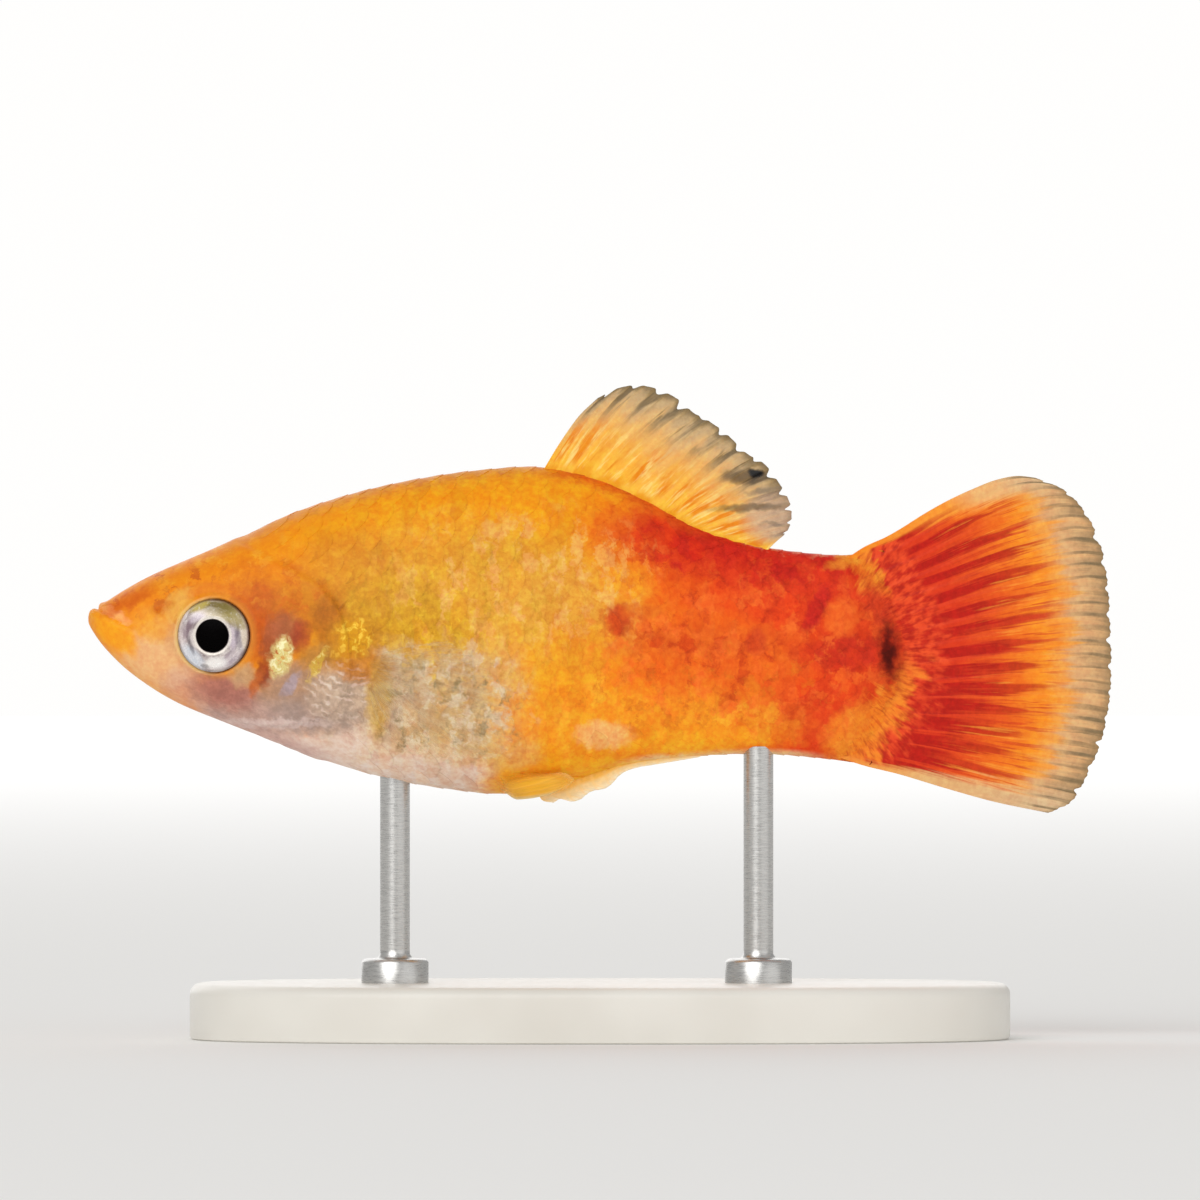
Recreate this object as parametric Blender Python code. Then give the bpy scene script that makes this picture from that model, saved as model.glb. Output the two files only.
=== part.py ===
"""A female sunset platy, 55 mm from snout to tail, as a still life-size model on a display stand.

The fish faces -X and swims level. Its mid plane is Y = 0, and the stand's underside is Z = 0.
Lengths are written in millimetres here, and become metres when a mesh is made.
"""

import math

import bmesh
import bpy
import numpy as np

MM = 0.001
GAP = 0.3  # between any two pieces that meet

# Body, as (x, z) or (x, share) knots from the snout to the root of the tail fin
SNOUT = (-27.45, 22.46)
BODY_END_X = 19.0
BACK = (
    SNOUT, (-27.2, 22.95), (-26.5, 23.45), (-24.2, 24.8), (-20.2, 26.55), (-16.1, 28.45),
    (-12.9, 29.45), (-9.7, 30.15), (-6.5, 30.6), (-3.0, 30.75), (0.0, 30.1), (2.7, 28.9),
    (5.3, 27.5), (8.0, 26.65), (10.7, 26.2), (13.1, 26.05), (15.3, 26.25), (19.0, 25.6),
)
BELLY = (
    SNOUT, (-27.2, 21.85), (-26.5, 20.9), (-25.0, 19.5), (-22.6, 18.0), (-20.2, 17.0),
    (-17.7, 16.0), (-14.5, 14.75), (-10.8, 13.75), (-8.1, 13.3), (-5.4, 13.05), (-3.2, 13.25),
    (-1.0, 13.9), (1.7, 14.7), (4.3, 15.0), (9.6, 15.15), (12.3, 14.9), (14.5, 14.65), (19.0, 15.0),
)
HALF_WIDTH = (
    (SNOUT[0], 0.0), (-26.9, 1.4), (-25.8, 2.05), (-24.2, 2.65), (-22.6, 3.1), (-20.8, 3.45),
    (-18.2, 3.95), (-13.7, 4.45), (-9.0, 4.6), (-4.4, 4.35), (0.0, 3.6), (4.3, 2.9),
    (8.0, 2.35), (11.8, 1.85), (14.5, 1.45), (19.0, 0.85),
)
WIDEST_LEVEL = ((SNOUT[0], 0.5), (-20.8, 0.5), (-8.0, 0.42), (0.0, 0.48), (19.0, 0.5))
BACK_POWER = ((SNOUT[0], 2.5), (-20.8, 2.4), (-14.0, 2.05), (-4.0, 1.85), (19.0, 2.0))
BELLY_POWER = ((SNOUT[0], 2.2), (-14.0, 2.1), (-6.0, 2.2), (2.0, 1.9), (19.0, 2.0))
STATIONS = 58
AROUND = 28

# Thin cuts that part the body, as (x, z) lines seen from the side
MOUTH_FRONT = (-26.85, 23.05)
MOUTH_CORNER = (-24.15, 21.4)
JAW_JOINT = ((-23.8, 20.6), (-23.6, 17.0))
SHOULDER_CUT = (
    (-14.5, 30.5), (-14.5, 26.2), (-14.1, 23.6), (-13.3, 21.2), (-13.3, 18.8), (-14.3, 17.2),
    (-14.9, 15.8), (-15.2, 13.5),
)
STALK_CUT = ((3.2, 31.0), (4.0, 24.5), (4.0, 19.0), (3.4, 13.0))
TAIL_ROOT_TOP = (14.7, 26.75)
TAIL_ROOT_REAR = (17.4, 20.6)
TAIL_ROOT_FOOT = (14.0, 14.15)
CUT_STEPS = 30

# Head: lips, nostrils, eyes and gill covers
LIP_RADIUS = 0.38
LIP_OFFSET = 0.3  # from the mouth line to the middle of a lip
LIP_TAPER = 0.6  # how much thinner a lip is at the corner of the mouth
LIP_STEPS = 7
LIP_SIDES = 8
NOSTRILS = ((-22.95, 23.3, 0.34), (-23.75, 22.95, 0.24))
EYE = (-20.77, 21.66)
EYE_DEPTH = 2.6
EYE_RADIUS = 1.97
EYE_BULGE = 1.3
GILL_EDGE = (
    (-15.0, 23.9), (-16.2, 24.1), (-17.4, 23.5), (-18.0, 21.8), (-18.3, 19.2), (-17.9, 17.5),
    (-16.3, 16.75),
)
GILL_LEVELS = (17.2, 23.4)
GILL_PROUD = 0.12
GILL_SUNK = 0.5

# Fins: outlines as (x, z) points, thickness and rays
MEMBRANE_HALF = 0.25
TIP_HALF = 0.16
RAY_RISE = 0.14
RAY_FLANK = 0.28  # from a crest to the foot of its ridge, as a share of the space between rays
RAY_TAPER = 0.6  # how much lower a ridge is at its tip
SCALLOP = 0.02  # how far the membrane stops short of the ray tips, as a share of their length
RAYS_AND_ROWS = {
    "dorsal_fin": (10, 8), "caudal_fin": (16, 9), "anal_fin": (8, 4), "pectoral_fin": (10, 6),
    "pelvic_fin": (6, 5),
}
ROOT_HALF = {
    "dorsal_fin": 0.5, "caudal_fin": 0.7, "anal_fin": 0.35, "pectoral_fin": 0.3, "pelvic_fin": 0.3,
}
DORSAL_ROOT_X = (-2.75, 8.0)
DORSAL_FRONT = ((-2.7, 31.45), (-1.95, 32.65), (-0.85, 33.85), (0.3, 34.6))
DORSAL_RIM = (
    (0.3, 34.6), (1.4, 34.95), (3.1, 34.8), (4.8, 33.8), (6.2, 33.0), (7.7, 31.75), (9.0, 30.5),
    (9.9, 29.0), (10.1, 28.0), (9.95, 27.2),
)
DORSAL_REAR = ((9.1, 26.85), (9.95, 27.2))
CAUDAL_TOP = ((16.1, 27.45), (18.6, 28.9), (21.0, 29.95), (23.4, 30.05))
CAUDAL_RIM = (
    (23.4, 30.05), (25.0, 29.35), (26.3, 28.0), (27.05, 26.3), (27.4, 22.0), (27.45, 18.7),
    (26.9, 15.9), (26.0, 14.0), (25.2, 12.6), (24.1, 12.1),
)
CAUDAL_FOOT = ((16.0, 14.2), (18.5, 13.4), (21.0, 12.7), (24.1, 12.1))
ANAL_ROOT_X = (-3.4, 0.4)
ANAL_FRONT = ((-2.8, 12.6), (-1.6, 12.65))
ANAL_RIM = ((-1.6, 12.65), (-0.4, 13.05), (0.8, 13.7), (1.6, 14.25), (2.2, 14.45))
ANAL_REAR = ((1.4, 14.3), (2.2, 14.45))
PECTORAL_ROOT = ((-12.2, 20.5), (-12.45, 19.85), (-12.45, 19.2))
PECTORAL_TOP = ((-10.2, 21.1), (-8.1, 21.35))
PECTORAL_RIM = (
    (-8.1, 21.35), (-6.3, 20.2), (-5.1, 18.4), (-4.5, 16.4), (-4.9, 15.5), (-7.5, 15.1), (-10.4, 15.4),
)
PECTORAL_FOOT = ((-11.9, 17.2), (-10.4, 15.4))
PECTORAL_FLARE = math.radians(16)
PELVIC_ROOT = ((-6.0, 2.4), (-5.6, 1.4))
PELVIC_OUTER = ((-4.4, 2.65), (-3.1, 2.4))
PELVIC_RIM = ((-3.1, 2.4), (-2.3, 1.9), (-2.1, 1.35), (-2.8, 1.0))
PELVIC_INNER = ((-4.2, 1.15), (-2.8, 1.0))
PELVIC_FLARE = math.radians(3)

# Display stand
BASE_LENGTH = 44.0
BASE_WIDTH = 24.0
BASE_HEIGHT = 3.0
BASE_POWER = 2.6
BASE_SIDES = 48
BASE_BEVEL = 0.6
ROD_RADIUS = 0.8
ROD_SIDES = 16
COLLAR_RADIUS = 1.8
COLLAR_HEIGHT = 1.0
ROD_SPARE = 1.5  # how far a rod runs into the belly before its top is cut to it
ROD_X = {"stand_rod_front": -11.0, "stand_rod_rear": 8.5}

REACH = 20.0  # a cutter's half length across the body, past both sides
HALVINGS = 24  # of the stretch in which a lip meets the snout
SLOPE_STEP = 0.05  # between the two points that a slope is read from

# Colour, roughness and metallic value of each finish
FINISHES = {
    "orange_skin": ((0.90, 0.36, 0.05), 0.35, 0.0),
    "pale_skin": ((0.86, 0.60, 0.33), 0.35, 0.0),
    "red_skin": ((0.80, 0.20, 0.04), 0.35, 0.0),
    "fin_membrane": ((0.86, 0.45, 0.16), 0.3, 0.0),
    "tail_membrane": ((0.72, 0.14, 0.05), 0.3, 0.0),
    "eye_silver": ((0.55, 0.53, 0.42), 0.08, 0.0),
    "stand_plate": ((0.82, 0.80, 0.76), 0.4, 0.0),
    "stand_steel": ((0.62, 0.62, 0.62), 0.25, 1.0),
}


def clear_scene():
    for obj in list(bpy.data.objects):
        bpy.data.objects.remove(obj)


def hermite(knots, values, t):
    """The smooth cubic through the knots, its slopes taken from each knot's two neighbours."""
    knots = np.asarray(knots, float)
    values = np.asarray(values, float)
    steps = np.diff(knots)
    rises = np.diff(values, axis=0) / steps[:, None]
    inner = steps[1:, None] * rises[:-1] + steps[:-1, None] * rises[1:]
    inner /= (steps[1:] + steps[:-1])[:, None]
    slopes = np.vstack([rises[:1], inner, rises[-1:]])
    i = int(np.clip(np.searchsorted(knots, t, "right") - 1, 0, len(steps) - 1))
    u = (t - knots[i]) / steps[i]
    start = (2 * u**3 - 3 * u**2 + 1) * values[i] + (u**3 - 2 * u**2 + u) * steps[i] * slopes[i]
    end = (3 * u**2 - 2 * u**3) * values[i + 1] + (u**3 - u**2) * steps[i] * slopes[i + 1]
    return start + end


def along_body(knots, x):
    """A body measure at x. It is drawn against the root of the way from the snout, which rounds the snout."""
    roots = [math.sqrt(max(knot[0] - SNOUT[0], 0.0)) for knot in knots]
    measures = [[knot[1]] for knot in knots]
    return float(hermite(roots, measures, math.sqrt(max(x - SNOUT[0], 0.0)))[0])


def path(points):
    """The smooth line through the points, as a function of its share of the length, 0 to 1."""
    points = np.asarray(points, float)
    lengths = np.linalg.norm(np.diff(points, axis=0), axis=1)
    knots = np.concatenate([[0.0], np.cumsum(lengths)]) / lengths.sum()
    return lambda t: hermite(knots, points, t)


def along(points, count):
    """Evenly spaced points on the smooth line through a few."""
    line = path(points)
    return [line(share) for share in np.linspace(0.0, 1.0, count)]


def section(x, grow=0.0):
    """Half width, levels of back, flank and belly, and roundness above and below, at a station."""
    back = along_body(BACK, x) + grow
    belly = along_body(BELLY, x) - grow
    flank = belly + (back - belly) * along_body(WIDEST_LEVEL, x)
    powers = along_body(BACK_POWER, x), along_body(BELLY_POWER, x)
    return along_body(HALF_WIDTH, x) + grow, back, flank, belly, *powers


def ring(x, grow):
    """The points of one cross-section, a rounded oval that may be fuller above or below."""
    half, back, flank, belly, over, under = section(x, grow)
    points = []
    for i in range(AROUND):
        angle = 2 * math.pi * i / AROUND
        side, rise = math.cos(angle), math.sin(angle)
        power = over if rise > 0 else under
        height = back - flank if rise > 0 else flank - belly
        y = half * math.copysign(abs(side) ** (2 / power), side)
        z = flank + height * math.copysign(abs(rise) ** (2 / power), rise)
        points.append((x, y, z))
    return points


def side_of_body(x, z):
    """How far the skin is from the mid plane at (x, z), 0 outside the body."""
    if x <= SNOUT[0]:
        return 0.0
    half, back, flank, belly, over, under = section(x)
    share = (z - flank) / (back - flank) if z > flank else (flank - z) / (flank - belly)
    power = over if z > flank else under
    return half * max(1 - share**power, 0.0) ** (1 / power)


def under_body(x, y):
    """The level of the body's underside at (x, y)."""
    half, _, flank, belly, _, under = section(x)
    return flank - (flank - belly) * (1 - (abs(y) / half) ** under) ** (1 / under)


def make_object(name, points, faces):
    """A closed mesh object from points in millimetres, with its faces pointing out."""
    mesh = bpy.data.meshes.new(name)
    mesh.from_pydata([[float(value) * MM for value in point] for point in points], [], faces)
    bm = bmesh.new()
    bm.from_mesh(mesh)
    bmesh.ops.recalc_face_normals(bm, faces=bm.faces)
    bm.to_mesh(mesh)
    bm.free()
    obj = bpy.data.objects.new(name, mesh)
    bpy.context.scene.collection.objects.link(obj)
    return obj


def skin_over(name, rings):
    """A closed skin over rings of equal count, with a flat cap at each end."""
    count = len(rings[0])
    points = [point for each in rings for point in each]
    faces = [tuple(range(count)), tuple(range(len(points) - count, len(points)))]
    for k in range(len(rings) - 1):
        for i in range(count):
            j = (i + 1) % count
            low, high = k * count, (k + 1) * count
            faces.append((low + i, high + i, high + j, low + j))
    return make_object(name, points, faces)


def body_form(name, grow=0.0, start_x=SNOUT[0] + 0.02):
    """The whole body from snout to tail root, grown or shrunk all round by a few tenths."""
    first = math.sqrt(start_x - SNOUT[0])
    last = math.sqrt(BODY_END_X - SNOUT[0])
    stations = [SNOUT[0] + (first + (last - first) * i / (STATIONS - 1)) ** 2 for i in range(STATIONS)]
    return skin_over(name, [ring(x, grow) for x in stations])


def tube(name, points, radii, sides):
    """A round bar along the points, with its own radius at each."""
    points = np.asarray(points, float)
    rings = []
    for i, radius in enumerate(radii):
        ahead = points[min(i + 1, len(points) - 1)] - points[max(i - 1, 0)]
        ahead /= np.linalg.norm(ahead)
        across = np.cross(ahead, (0.0, 0.0, 1.0))
        across /= np.linalg.norm(across)
        up = np.cross(across, ahead)
        turns = [2 * math.pi * k / sides for k in range(sides)]
        rings.append([points[i] + radius * (math.cos(t) * across + math.sin(t) * up) for t in turns])
    return skin_over(name, rings)


def prism(name, outline, low=-REACH, high=REACH):
    """A solid with an (x, z) outline, from y = low to y = high."""
    return skin_over(name, [[(x, y, z) for x, z in outline] for y in (low, high)])


def offset_line(line, distance):
    """The line moved sideways, each point along the mean normal of its two stretches."""
    line = np.asarray(line, float)
    runs = np.diff(line, axis=0)
    normals = np.column_stack([-runs[:, 1], runs[:, 0]]) / np.linalg.norm(runs, axis=1)[:, None]
    means = np.vstack([normals[:1], normals[:-1] + normals[1:], normals[-1:]])
    means[1:-1] /= np.sum(means[1:-1] * normals[1:], axis=1)[:, None]
    return line + means * distance


def grown_outline(outline, distance):
    """A closed outline grown all round, for a recess that clears the piece in it."""
    closed = [outline[-1], *outline, outline[0]]
    moved = offset_line(closed, distance)[1:-1]
    inward = offset_line(closed, -distance)[1:-1]
    return moved if outline_area(moved) > outline_area(inward) else inward


def outline_area(outline):
    x, z = np.asarray(outline, float).T
    return abs(np.dot(x, np.roll(z, -1)) - np.dot(z, np.roll(x, -1))) / 2


def thin_cut(name, line):
    """A cutter one gap thick that follows an (x, z) line."""
    outline = [*offset_line(line, GAP / 2), *offset_line(line, -GAP / 2)[::-1]]
    return prism(name, outline)


def ball(name, centre, radii, segments=24, rings=16):
    """An ellipsoid whose poles lie across the body."""
    points = [(centre[0], centre[1] - radii[1], centre[2])]
    for i in range(1, rings):
        tilt = math.pi * i / rings
        for k in range(segments):
            turn = 2 * math.pi * k / segments
            points.append((
                centre[0] + radii[0] * math.sin(tilt) * math.cos(turn),
                centre[1] - radii[1] * math.cos(tilt),
                centre[2] + radii[2] * math.sin(tilt) * math.sin(turn),
            ))
    points.append((centre[0], centre[1] + radii[1], centre[2]))
    last = len(points) - 1
    faces = []
    for k in range(segments):
        j = (k + 1) % segments
        faces.append((0, 1 + k, 1 + j))
        faces.append((last, last - segments + j, last - segments + k))
        for i in range(rings - 2):
            low, high = 1 + i * segments, 1 + (i + 1) * segments
            faces.append((low + k, high + k, high + j, low + j))
    return make_object(name, points, faces)


def apply_modifiers(obj):
    bpy.context.view_layer.update()
    graph = bpy.context.evaluated_depsgraph_get()
    mesh = bpy.data.meshes.new_from_object(obj.evaluated_get(graph))
    obj.modifiers.clear()
    obj.data = mesh


def boolean(obj, operation, cutter):
    """Applies one Boolean to the object, and removes the cutter."""
    modifier = obj.modifiers.new(operation.lower(), "BOOLEAN")
    modifier.operation = operation
    modifier.solver = "EXACT"
    modifier.object = cutter
    apply_modifiers(obj)
    bpy.data.objects.remove(cutter)


def fuse(obj, pieces):
    """Joins closed pieces to the object by one union, and removes them."""
    group = bpy.data.collections.new(obj.name + "_pieces")
    for piece in pieces:
        group.objects.link(piece)
    modifier = obj.modifiers.new("fuse", "BOOLEAN")
    modifier.operation = "UNION"
    modifier.solver = "EXACT"
    modifier.operand_type = "COLLECTION"
    modifier.collection = group
    apply_modifiers(obj)
    for piece in pieces:
        bpy.data.objects.remove(piece)
    bpy.data.collections.remove(group)


def islands(obj):
    """Each separate closed surface of a mesh, as the (points, faces) of its own, in millimetres."""
    bm = bmesh.new()
    bm.from_mesh(obj.data)
    left = set(bm.verts)
    found = []
    while left:
        stack = [left.pop()]
        piece = set(stack)
        while stack:
            for edge in stack.pop().link_edges:
                for vertex in edge.verts:
                    if vertex in left:
                        left.discard(vertex)
                        piece.add(vertex)
                        stack.append(vertex)
        ordered = sorted(piece, key=lambda vertex: vertex.index)
        place = {vertex: i for i, vertex in enumerate(ordered)}
        faces = [[place[v] for v in face.verts] for face in bm.faces if face.verts[0] in piece]
        found.append(([tuple(v.co / MM) for v in ordered], faces))
    bm.free()
    return found


def extent(points):
    return np.ptp(np.asarray(points, float), axis=0).prod()


def largest(obj, axis, names):
    """Parts an object into its largest closed surfaces, named in order along an axis, without scraps."""
    kept = sorted(islands(obj), key=lambda island: extent(island[0]), reverse=True)[:len(names)]
    kept.sort(key=lambda island: np.mean([point[axis] for point in island[0]]))
    bpy.data.objects.remove(obj)
    return [make_object(name, *island) for name, island in zip(names, kept)]


def mouth_line(distance, offset):
    """The point this far back along the mouth line, and this far above it."""
    front, corner = np.array(MOUTH_FRONT), np.array(MOUTH_CORNER)
    back = (corner - front) / np.linalg.norm(corner - front)
    return front + distance * back + offset * np.array((-back[1], back[0]))


def lip(name, offset):
    """A lip: a bar that runs round the snout beside the mouth, from corner to corner."""
    length = math.dist(MOUTH_FRONT, MOUTH_CORNER)
    outside, inside = -length, length / 2
    for _ in range(HALVINGS):
        middle = (outside + inside) / 2
        if side_of_body(*mouth_line(middle, offset)) > 0:
            inside = middle
        else:
            outside = middle
    points, radii = [], []
    for i in range(-LIP_STEPS, LIP_STEPS + 1):
        share = abs(i) / LIP_STEPS
        x, z = mouth_line(inside + (length - inside) * share**2, offset)
        points.append((x, math.copysign(side_of_body(x, z), i) * (i != 0), z))
        radii.append(LIP_RADIUS * (1 - LIP_TAPER * share**2))
    return tube(name, points, radii, LIP_SIDES)


def tail_root():
    """The arc where the scales end and the tail fin begins, from top to foot."""
    top, rear, foot = map(np.array, (TAIL_ROOT_TOP, TAIL_ROOT_REAR, TAIL_ROOT_FOOT))
    pull = 2 * rear - (top + foot) / 2
    shares = np.linspace(0.0, 1.0, CUT_STEPS // 2)
    return [(1 - t) ** 2 * top + 2 * t * (1 - t) * pull + t**2 * foot for t in shares]


def build_body():
    """Lower jaw, head, torso and tail stalk, from one whole form."""
    whole = body_form("whole")
    fuse(whole, [lip("upper_lip", LIP_OFFSET), lip("lower_lip", -LIP_OFFSET)])
    root = tail_root()
    lines = {
        "jaw_cut": [mouth_line(-1.5, 0.0), MOUTH_CORNER, *JAW_JOINT],
        "shoulder_cut": along(SHOULDER_CUT, CUT_STEPS),
        "stalk_cut": along(STALK_CUT, CUT_STEPS),
        "tail_cut": [2 * root[0] - root[1], *root, 2 * root[-1] - root[-2]],
    }
    for name, line in lines.items():
        boolean(whole, "DIFFERENCE", thin_cut(name, line))
    return largest(whole, 0, ("lower_jaw", "head", "torso", "tail_stalk", "beyond"))


def gill_outline():
    """A gill cover from the side. Its rear edge runs just ahead of the shoulder cut."""
    low, high = GILL_LEVELS
    rear = [(x - GAP / 2, z) for x, z in along(SHOULDER_CUT, CUT_STEPS) if low < z < high]
    return [*rear, *along([rear[-1], *GILL_EDGE[::-1], rear[0]], CUT_STEPS)[1:-1]]


def build_gill_covers():
    """Two curved flaps that stand a little proud of the head."""
    flaps = body_form("flaps", GILL_PROUD)
    boolean(flaps, "INTERSECT", prism("gill_edge", gill_outline()))
    boolean(flaps, "DIFFERENCE", body_form("gill_bed", -GILL_SUNK, MOUTH_CORNER[0]))
    return largest(flaps, 1, ("gill_cover_left", "gill_cover_right"))


def finish_head(head):
    """Cuts the eye sockets, the nostrils and the beds of the gill covers into the head."""
    bed = prism("gill_bed", grown_outline(gill_outline(), GAP))
    boolean(bed, "DIFFERENCE", body_form("gill_floor", -GILL_SUNK - GAP, MOUTH_CORNER[0]))
    boolean(head, "DIFFERENCE", bed)
    for side in (-1, 1):
        radii = (EYE_RADIUS + GAP, EYE_BULGE + GAP, EYE_RADIUS + GAP)
        boolean(head, "DIFFERENCE", ball("socket", (EYE[0], side * EYE_DEPTH, EYE[1]), radii))
        for x, z, radius in NOSTRILS:
            centre = (x, side * side_of_body(x, z), z)
            boolean(head, "DIFFERENCE", ball("nostril", centre, (radius, radius, radius), 10, 6))
    return largest(head, 0, ("head",))[0]


def build_eyes():
    eyes = []
    for name, side in (("eye_left", -1), ("eye_right", 1)):
        centre = (EYE[0], side * EYE_DEPTH, EYE[1])
        eyes.append(ball(name, centre, (EYE_RADIUS, EYE_BULGE, EYE_RADIUS), 24, 14))
    return eyes


def coons(root, rim, first, last):
    """The point of a sheet at (a, b): a runs from its first ray to its last, b from root to rim."""
    def point(a, b):
        rails = (1 - b) * root(a) + b * rim(a) + (1 - a) * first(b) + a * last(b)
        near = (1 - b) * ((1 - a) * root(0.0) + a * root(1.0))
        far = b * ((1 - a) * rim(0.0) + a * rim(1.0))
        return rails - near - far
    return point


def fin_columns(rays):
    """Each column of a fin as (a, ridge): the crest of every ray, with its two flanks."""
    spacing = 1 / (rays - 1)
    columns = []
    for k in range(rays):
        for shift, ridge in ((-RAY_FLANK, 0.0), (0.0, 1.0), (RAY_FLANK, 0.0)):
            a = (k + shift) * spacing
            if 0 <= k + shift <= rays - 1:
                columns.append((a, ridge))
    return columns


def sheet_faces(wide, tall):
    """Triangles of both faces of a sheet of wide by tall points, split alike, and of its edge."""
    far = wide * tall
    faces = []
    for i in range(wide - 1):
        for j in range(tall - 1):
            corner = i * tall + j
            across, up, both = corner + tall, corner + 1, corner + tall + 1
            for triple in ((corner, across, up), (across, both, up)):
                faces.append(triple)
                faces.append(tuple(far + point for point in triple[::-1]))
    edge = [i * tall for i in range(wide)]
    edge += [(wide - 1) * tall + j for j in range(1, tall)]
    edge += [i * tall + tall - 1 for i in range(wide - 2, -1, -1)]
    edge += list(range(tall - 2, 0, -1))
    for start, end in zip(edge, edge[1:] + edge[:1]):
        faces.append((start, end, far + end))
        faces.append((start, far + end, far + start))
    return faces


def build_fin(kind, place, side_name=""):
    """A fin whose rays are ridges in both faces of its membrane and stand out at its rim.

    place(a, b) gives a point of the mid surface and the direction of its thickness.
    """
    rays, rows = RAYS_AND_ROWS[kind]
    root_half = ROOT_HALF[kind]
    columns = fin_columns(rays)
    left, right = [], []
    for a, ridge in columns:
        reach = 1 - SCALLOP * (1 - ridge)
        for row in range(rows + 1):
            b = row / rows
            point, across = map(np.asarray, place(a, b * reach))
            half = MEMBRANE_HALF + (root_half - MEMBRANE_HALF) * (1 - b) ** 2
            half += RAY_RISE * ridge * min(b * rows, 1.0) * (1 - RAY_TAPER * b)
            half += (TIP_HALF - half) * b**5
            left.append(point - half * across)
            right.append(point + half * across)
    return make_object(kind + side_name, [*left, *right], sheet_faces(len(columns), rows + 1))


def median_fin(kind, root, front, rim, rear):
    """A fin in the mid plane. root(a) gives its (x, z) line on the body."""
    start, end = root(0.0), root(1.0)
    sheet = coons(root, path(rim), path([start, *front]), path([end, *rear]))

    def place(a, b):
        x, z = sheet(a, b)
        return (x, 0.0, z), (0, 1, 0)
    return build_fin(kind, place)


def build_dorsal_fin():
    def root(a):
        x = DORSAL_ROOT_X[0] + a * (DORSAL_ROOT_X[1] - DORSAL_ROOT_X[0])
        return np.array((x, along_body(BACK, x) + GAP))
    return median_fin("dorsal_fin", root, DORSAL_FRONT, DORSAL_RIM, DORSAL_REAR)


def build_caudal_fin():
    line = path([point + (GAP, 0.0) for point in tail_root()])
    return median_fin("caudal_fin", line, CAUDAL_TOP, CAUDAL_RIM, CAUDAL_FOOT)


def build_anal_fin():
    def root(a):
        x = ANAL_ROOT_X[0] + a * (ANAL_ROOT_X[1] - ANAL_ROOT_X[0])
        return np.array((x, along_body(BELLY, x) - GAP))
    return median_fin("anal_fin", root, ANAL_FRONT, ANAL_RIM, ANAL_REAR)


def build_pectoral_fin(side_name, side):
    """A fan held a little off the flank, just behind the gill cover."""
    root = path(PECTORAL_ROOT)
    top, foot = path([PECTORAL_ROOT[0], *PECTORAL_TOP]), path([PECTORAL_ROOT[-1], *PECTORAL_FOOT])
    sheet = coons(root, path(PECTORAL_RIM), top, foot)

    def place(a, b):
        x, z = sheet(a, b)
        start = root(a)
        away = GAP + ROOT_HALF["pectoral_fin"] + math.dist((x, z), start) * math.tan(PECTORAL_FLARE)
        return (x, side * (side_of_body(*start) + away), z), (0, 1, 0)
    return build_fin("pectoral_fin", place, side_name)


def build_pelvic_fin(side_name, side):
    """A small fin laid back along the underside of the belly."""
    root = path(PELVIC_ROOT)
    outer, inner = path([PELVIC_ROOT[0], *PELVIC_OUTER]), path([PELVIC_ROOT[-1], *PELVIC_INNER])
    sheet = coons(root, path(PELVIC_RIM), outer, inner)

    def place(a, b):
        x, y = sheet(a, b)
        slope_x = (under_body(x + SLOPE_STEP, y) - under_body(x - SLOPE_STEP, y)) / (2 * SLOPE_STEP)
        slope_y = (under_body(x, y + SLOPE_STEP) - under_body(x, y - SLOPE_STEP)) / (2 * SLOPE_STEP)
        normal = np.array((slope_x, slope_y, -1.0)) / math.hypot(slope_x, slope_y, 1.0)
        away = GAP + ROOT_HALF["pelvic_fin"] + math.dist((x, y), root(a)) * math.tan(PELVIC_FLARE)
        point = np.array((x, y, under_body(x, y))) + away * normal
        return point * (1, side, 1), normal * (1, side, 1)
    return build_fin("pelvic_fin", place, side_name)


def build_base():
    """The stand's plate, a rounded oval with a softened edge."""
    outline = []
    for i in range(BASE_SIDES):
        turn = 2 * math.pi * i / BASE_SIDES
        x = math.copysign(abs(math.cos(turn)) ** (2 / BASE_POWER), math.cos(turn)) * BASE_LENGTH / 2
        y = math.copysign(abs(math.sin(turn)) ** (2 / BASE_POWER), math.sin(turn)) * BASE_WIDTH / 2
        outline.append((x, y))
    base = skin_over("stand_base", [[(x, y, z) for x, y in outline] for z in (0.0, BASE_HEIGHT)])
    bevel = base.modifiers.new("softened_edge", "BEVEL")
    bevel.width = BASE_BEVEL * MM
    bevel.segments = 2
    bevel.limit_method = "ANGLE"
    bevel.angle_limit = math.radians(60)
    return base


def build_rod(name, x):
    """A rod from the base up to the belly, with a collar at its foot."""
    foot = BASE_HEIGHT + GAP
    top = along_body(BELLY, x) + ROD_SPARE
    heights = (foot, foot + COLLAR_HEIGHT, foot + COLLAR_HEIGHT, top)
    radii = (COLLAR_RADIUS, COLLAR_RADIUS, ROD_RADIUS, ROD_RADIUS)
    rings = []
    for height, radius in zip(heights, radii):
        turns = [2 * math.pi * k / ROD_SIDES for k in range(ROD_SIDES)]
        rings.append([(x + radius * math.cos(t), radius * math.sin(t), height) for t in turns])
    rod = skin_over(name, rings)
    boolean(rod, "DIFFERENCE", body_form("clearance", GAP))
    return largest(rod, 2, (name,))[0]


def material(name):
    colour, roughness, metallic = FINISHES[name]
    made = bpy.data.materials.get(name) or bpy.data.materials.new(name)
    made.use_nodes = True
    shader = made.node_tree.nodes["Principled BSDF"]
    shader.inputs["Base Color"].default_value = (*colour, 1.0)
    shader.inputs["Roughness"].default_value = roughness
    shader.inputs["Metallic"].default_value = metallic
    return made


def dress(obj, finish, parent):
    """Gives a piece its finish, smooth shading and its parent."""
    obj.data.materials.clear()
    obj.data.materials.append(material(finish))
    obj.data.shade_smooth()
    obj.data.set_sharp_from_angle(angle=math.radians(40))
    obj.parent = parent


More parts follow.
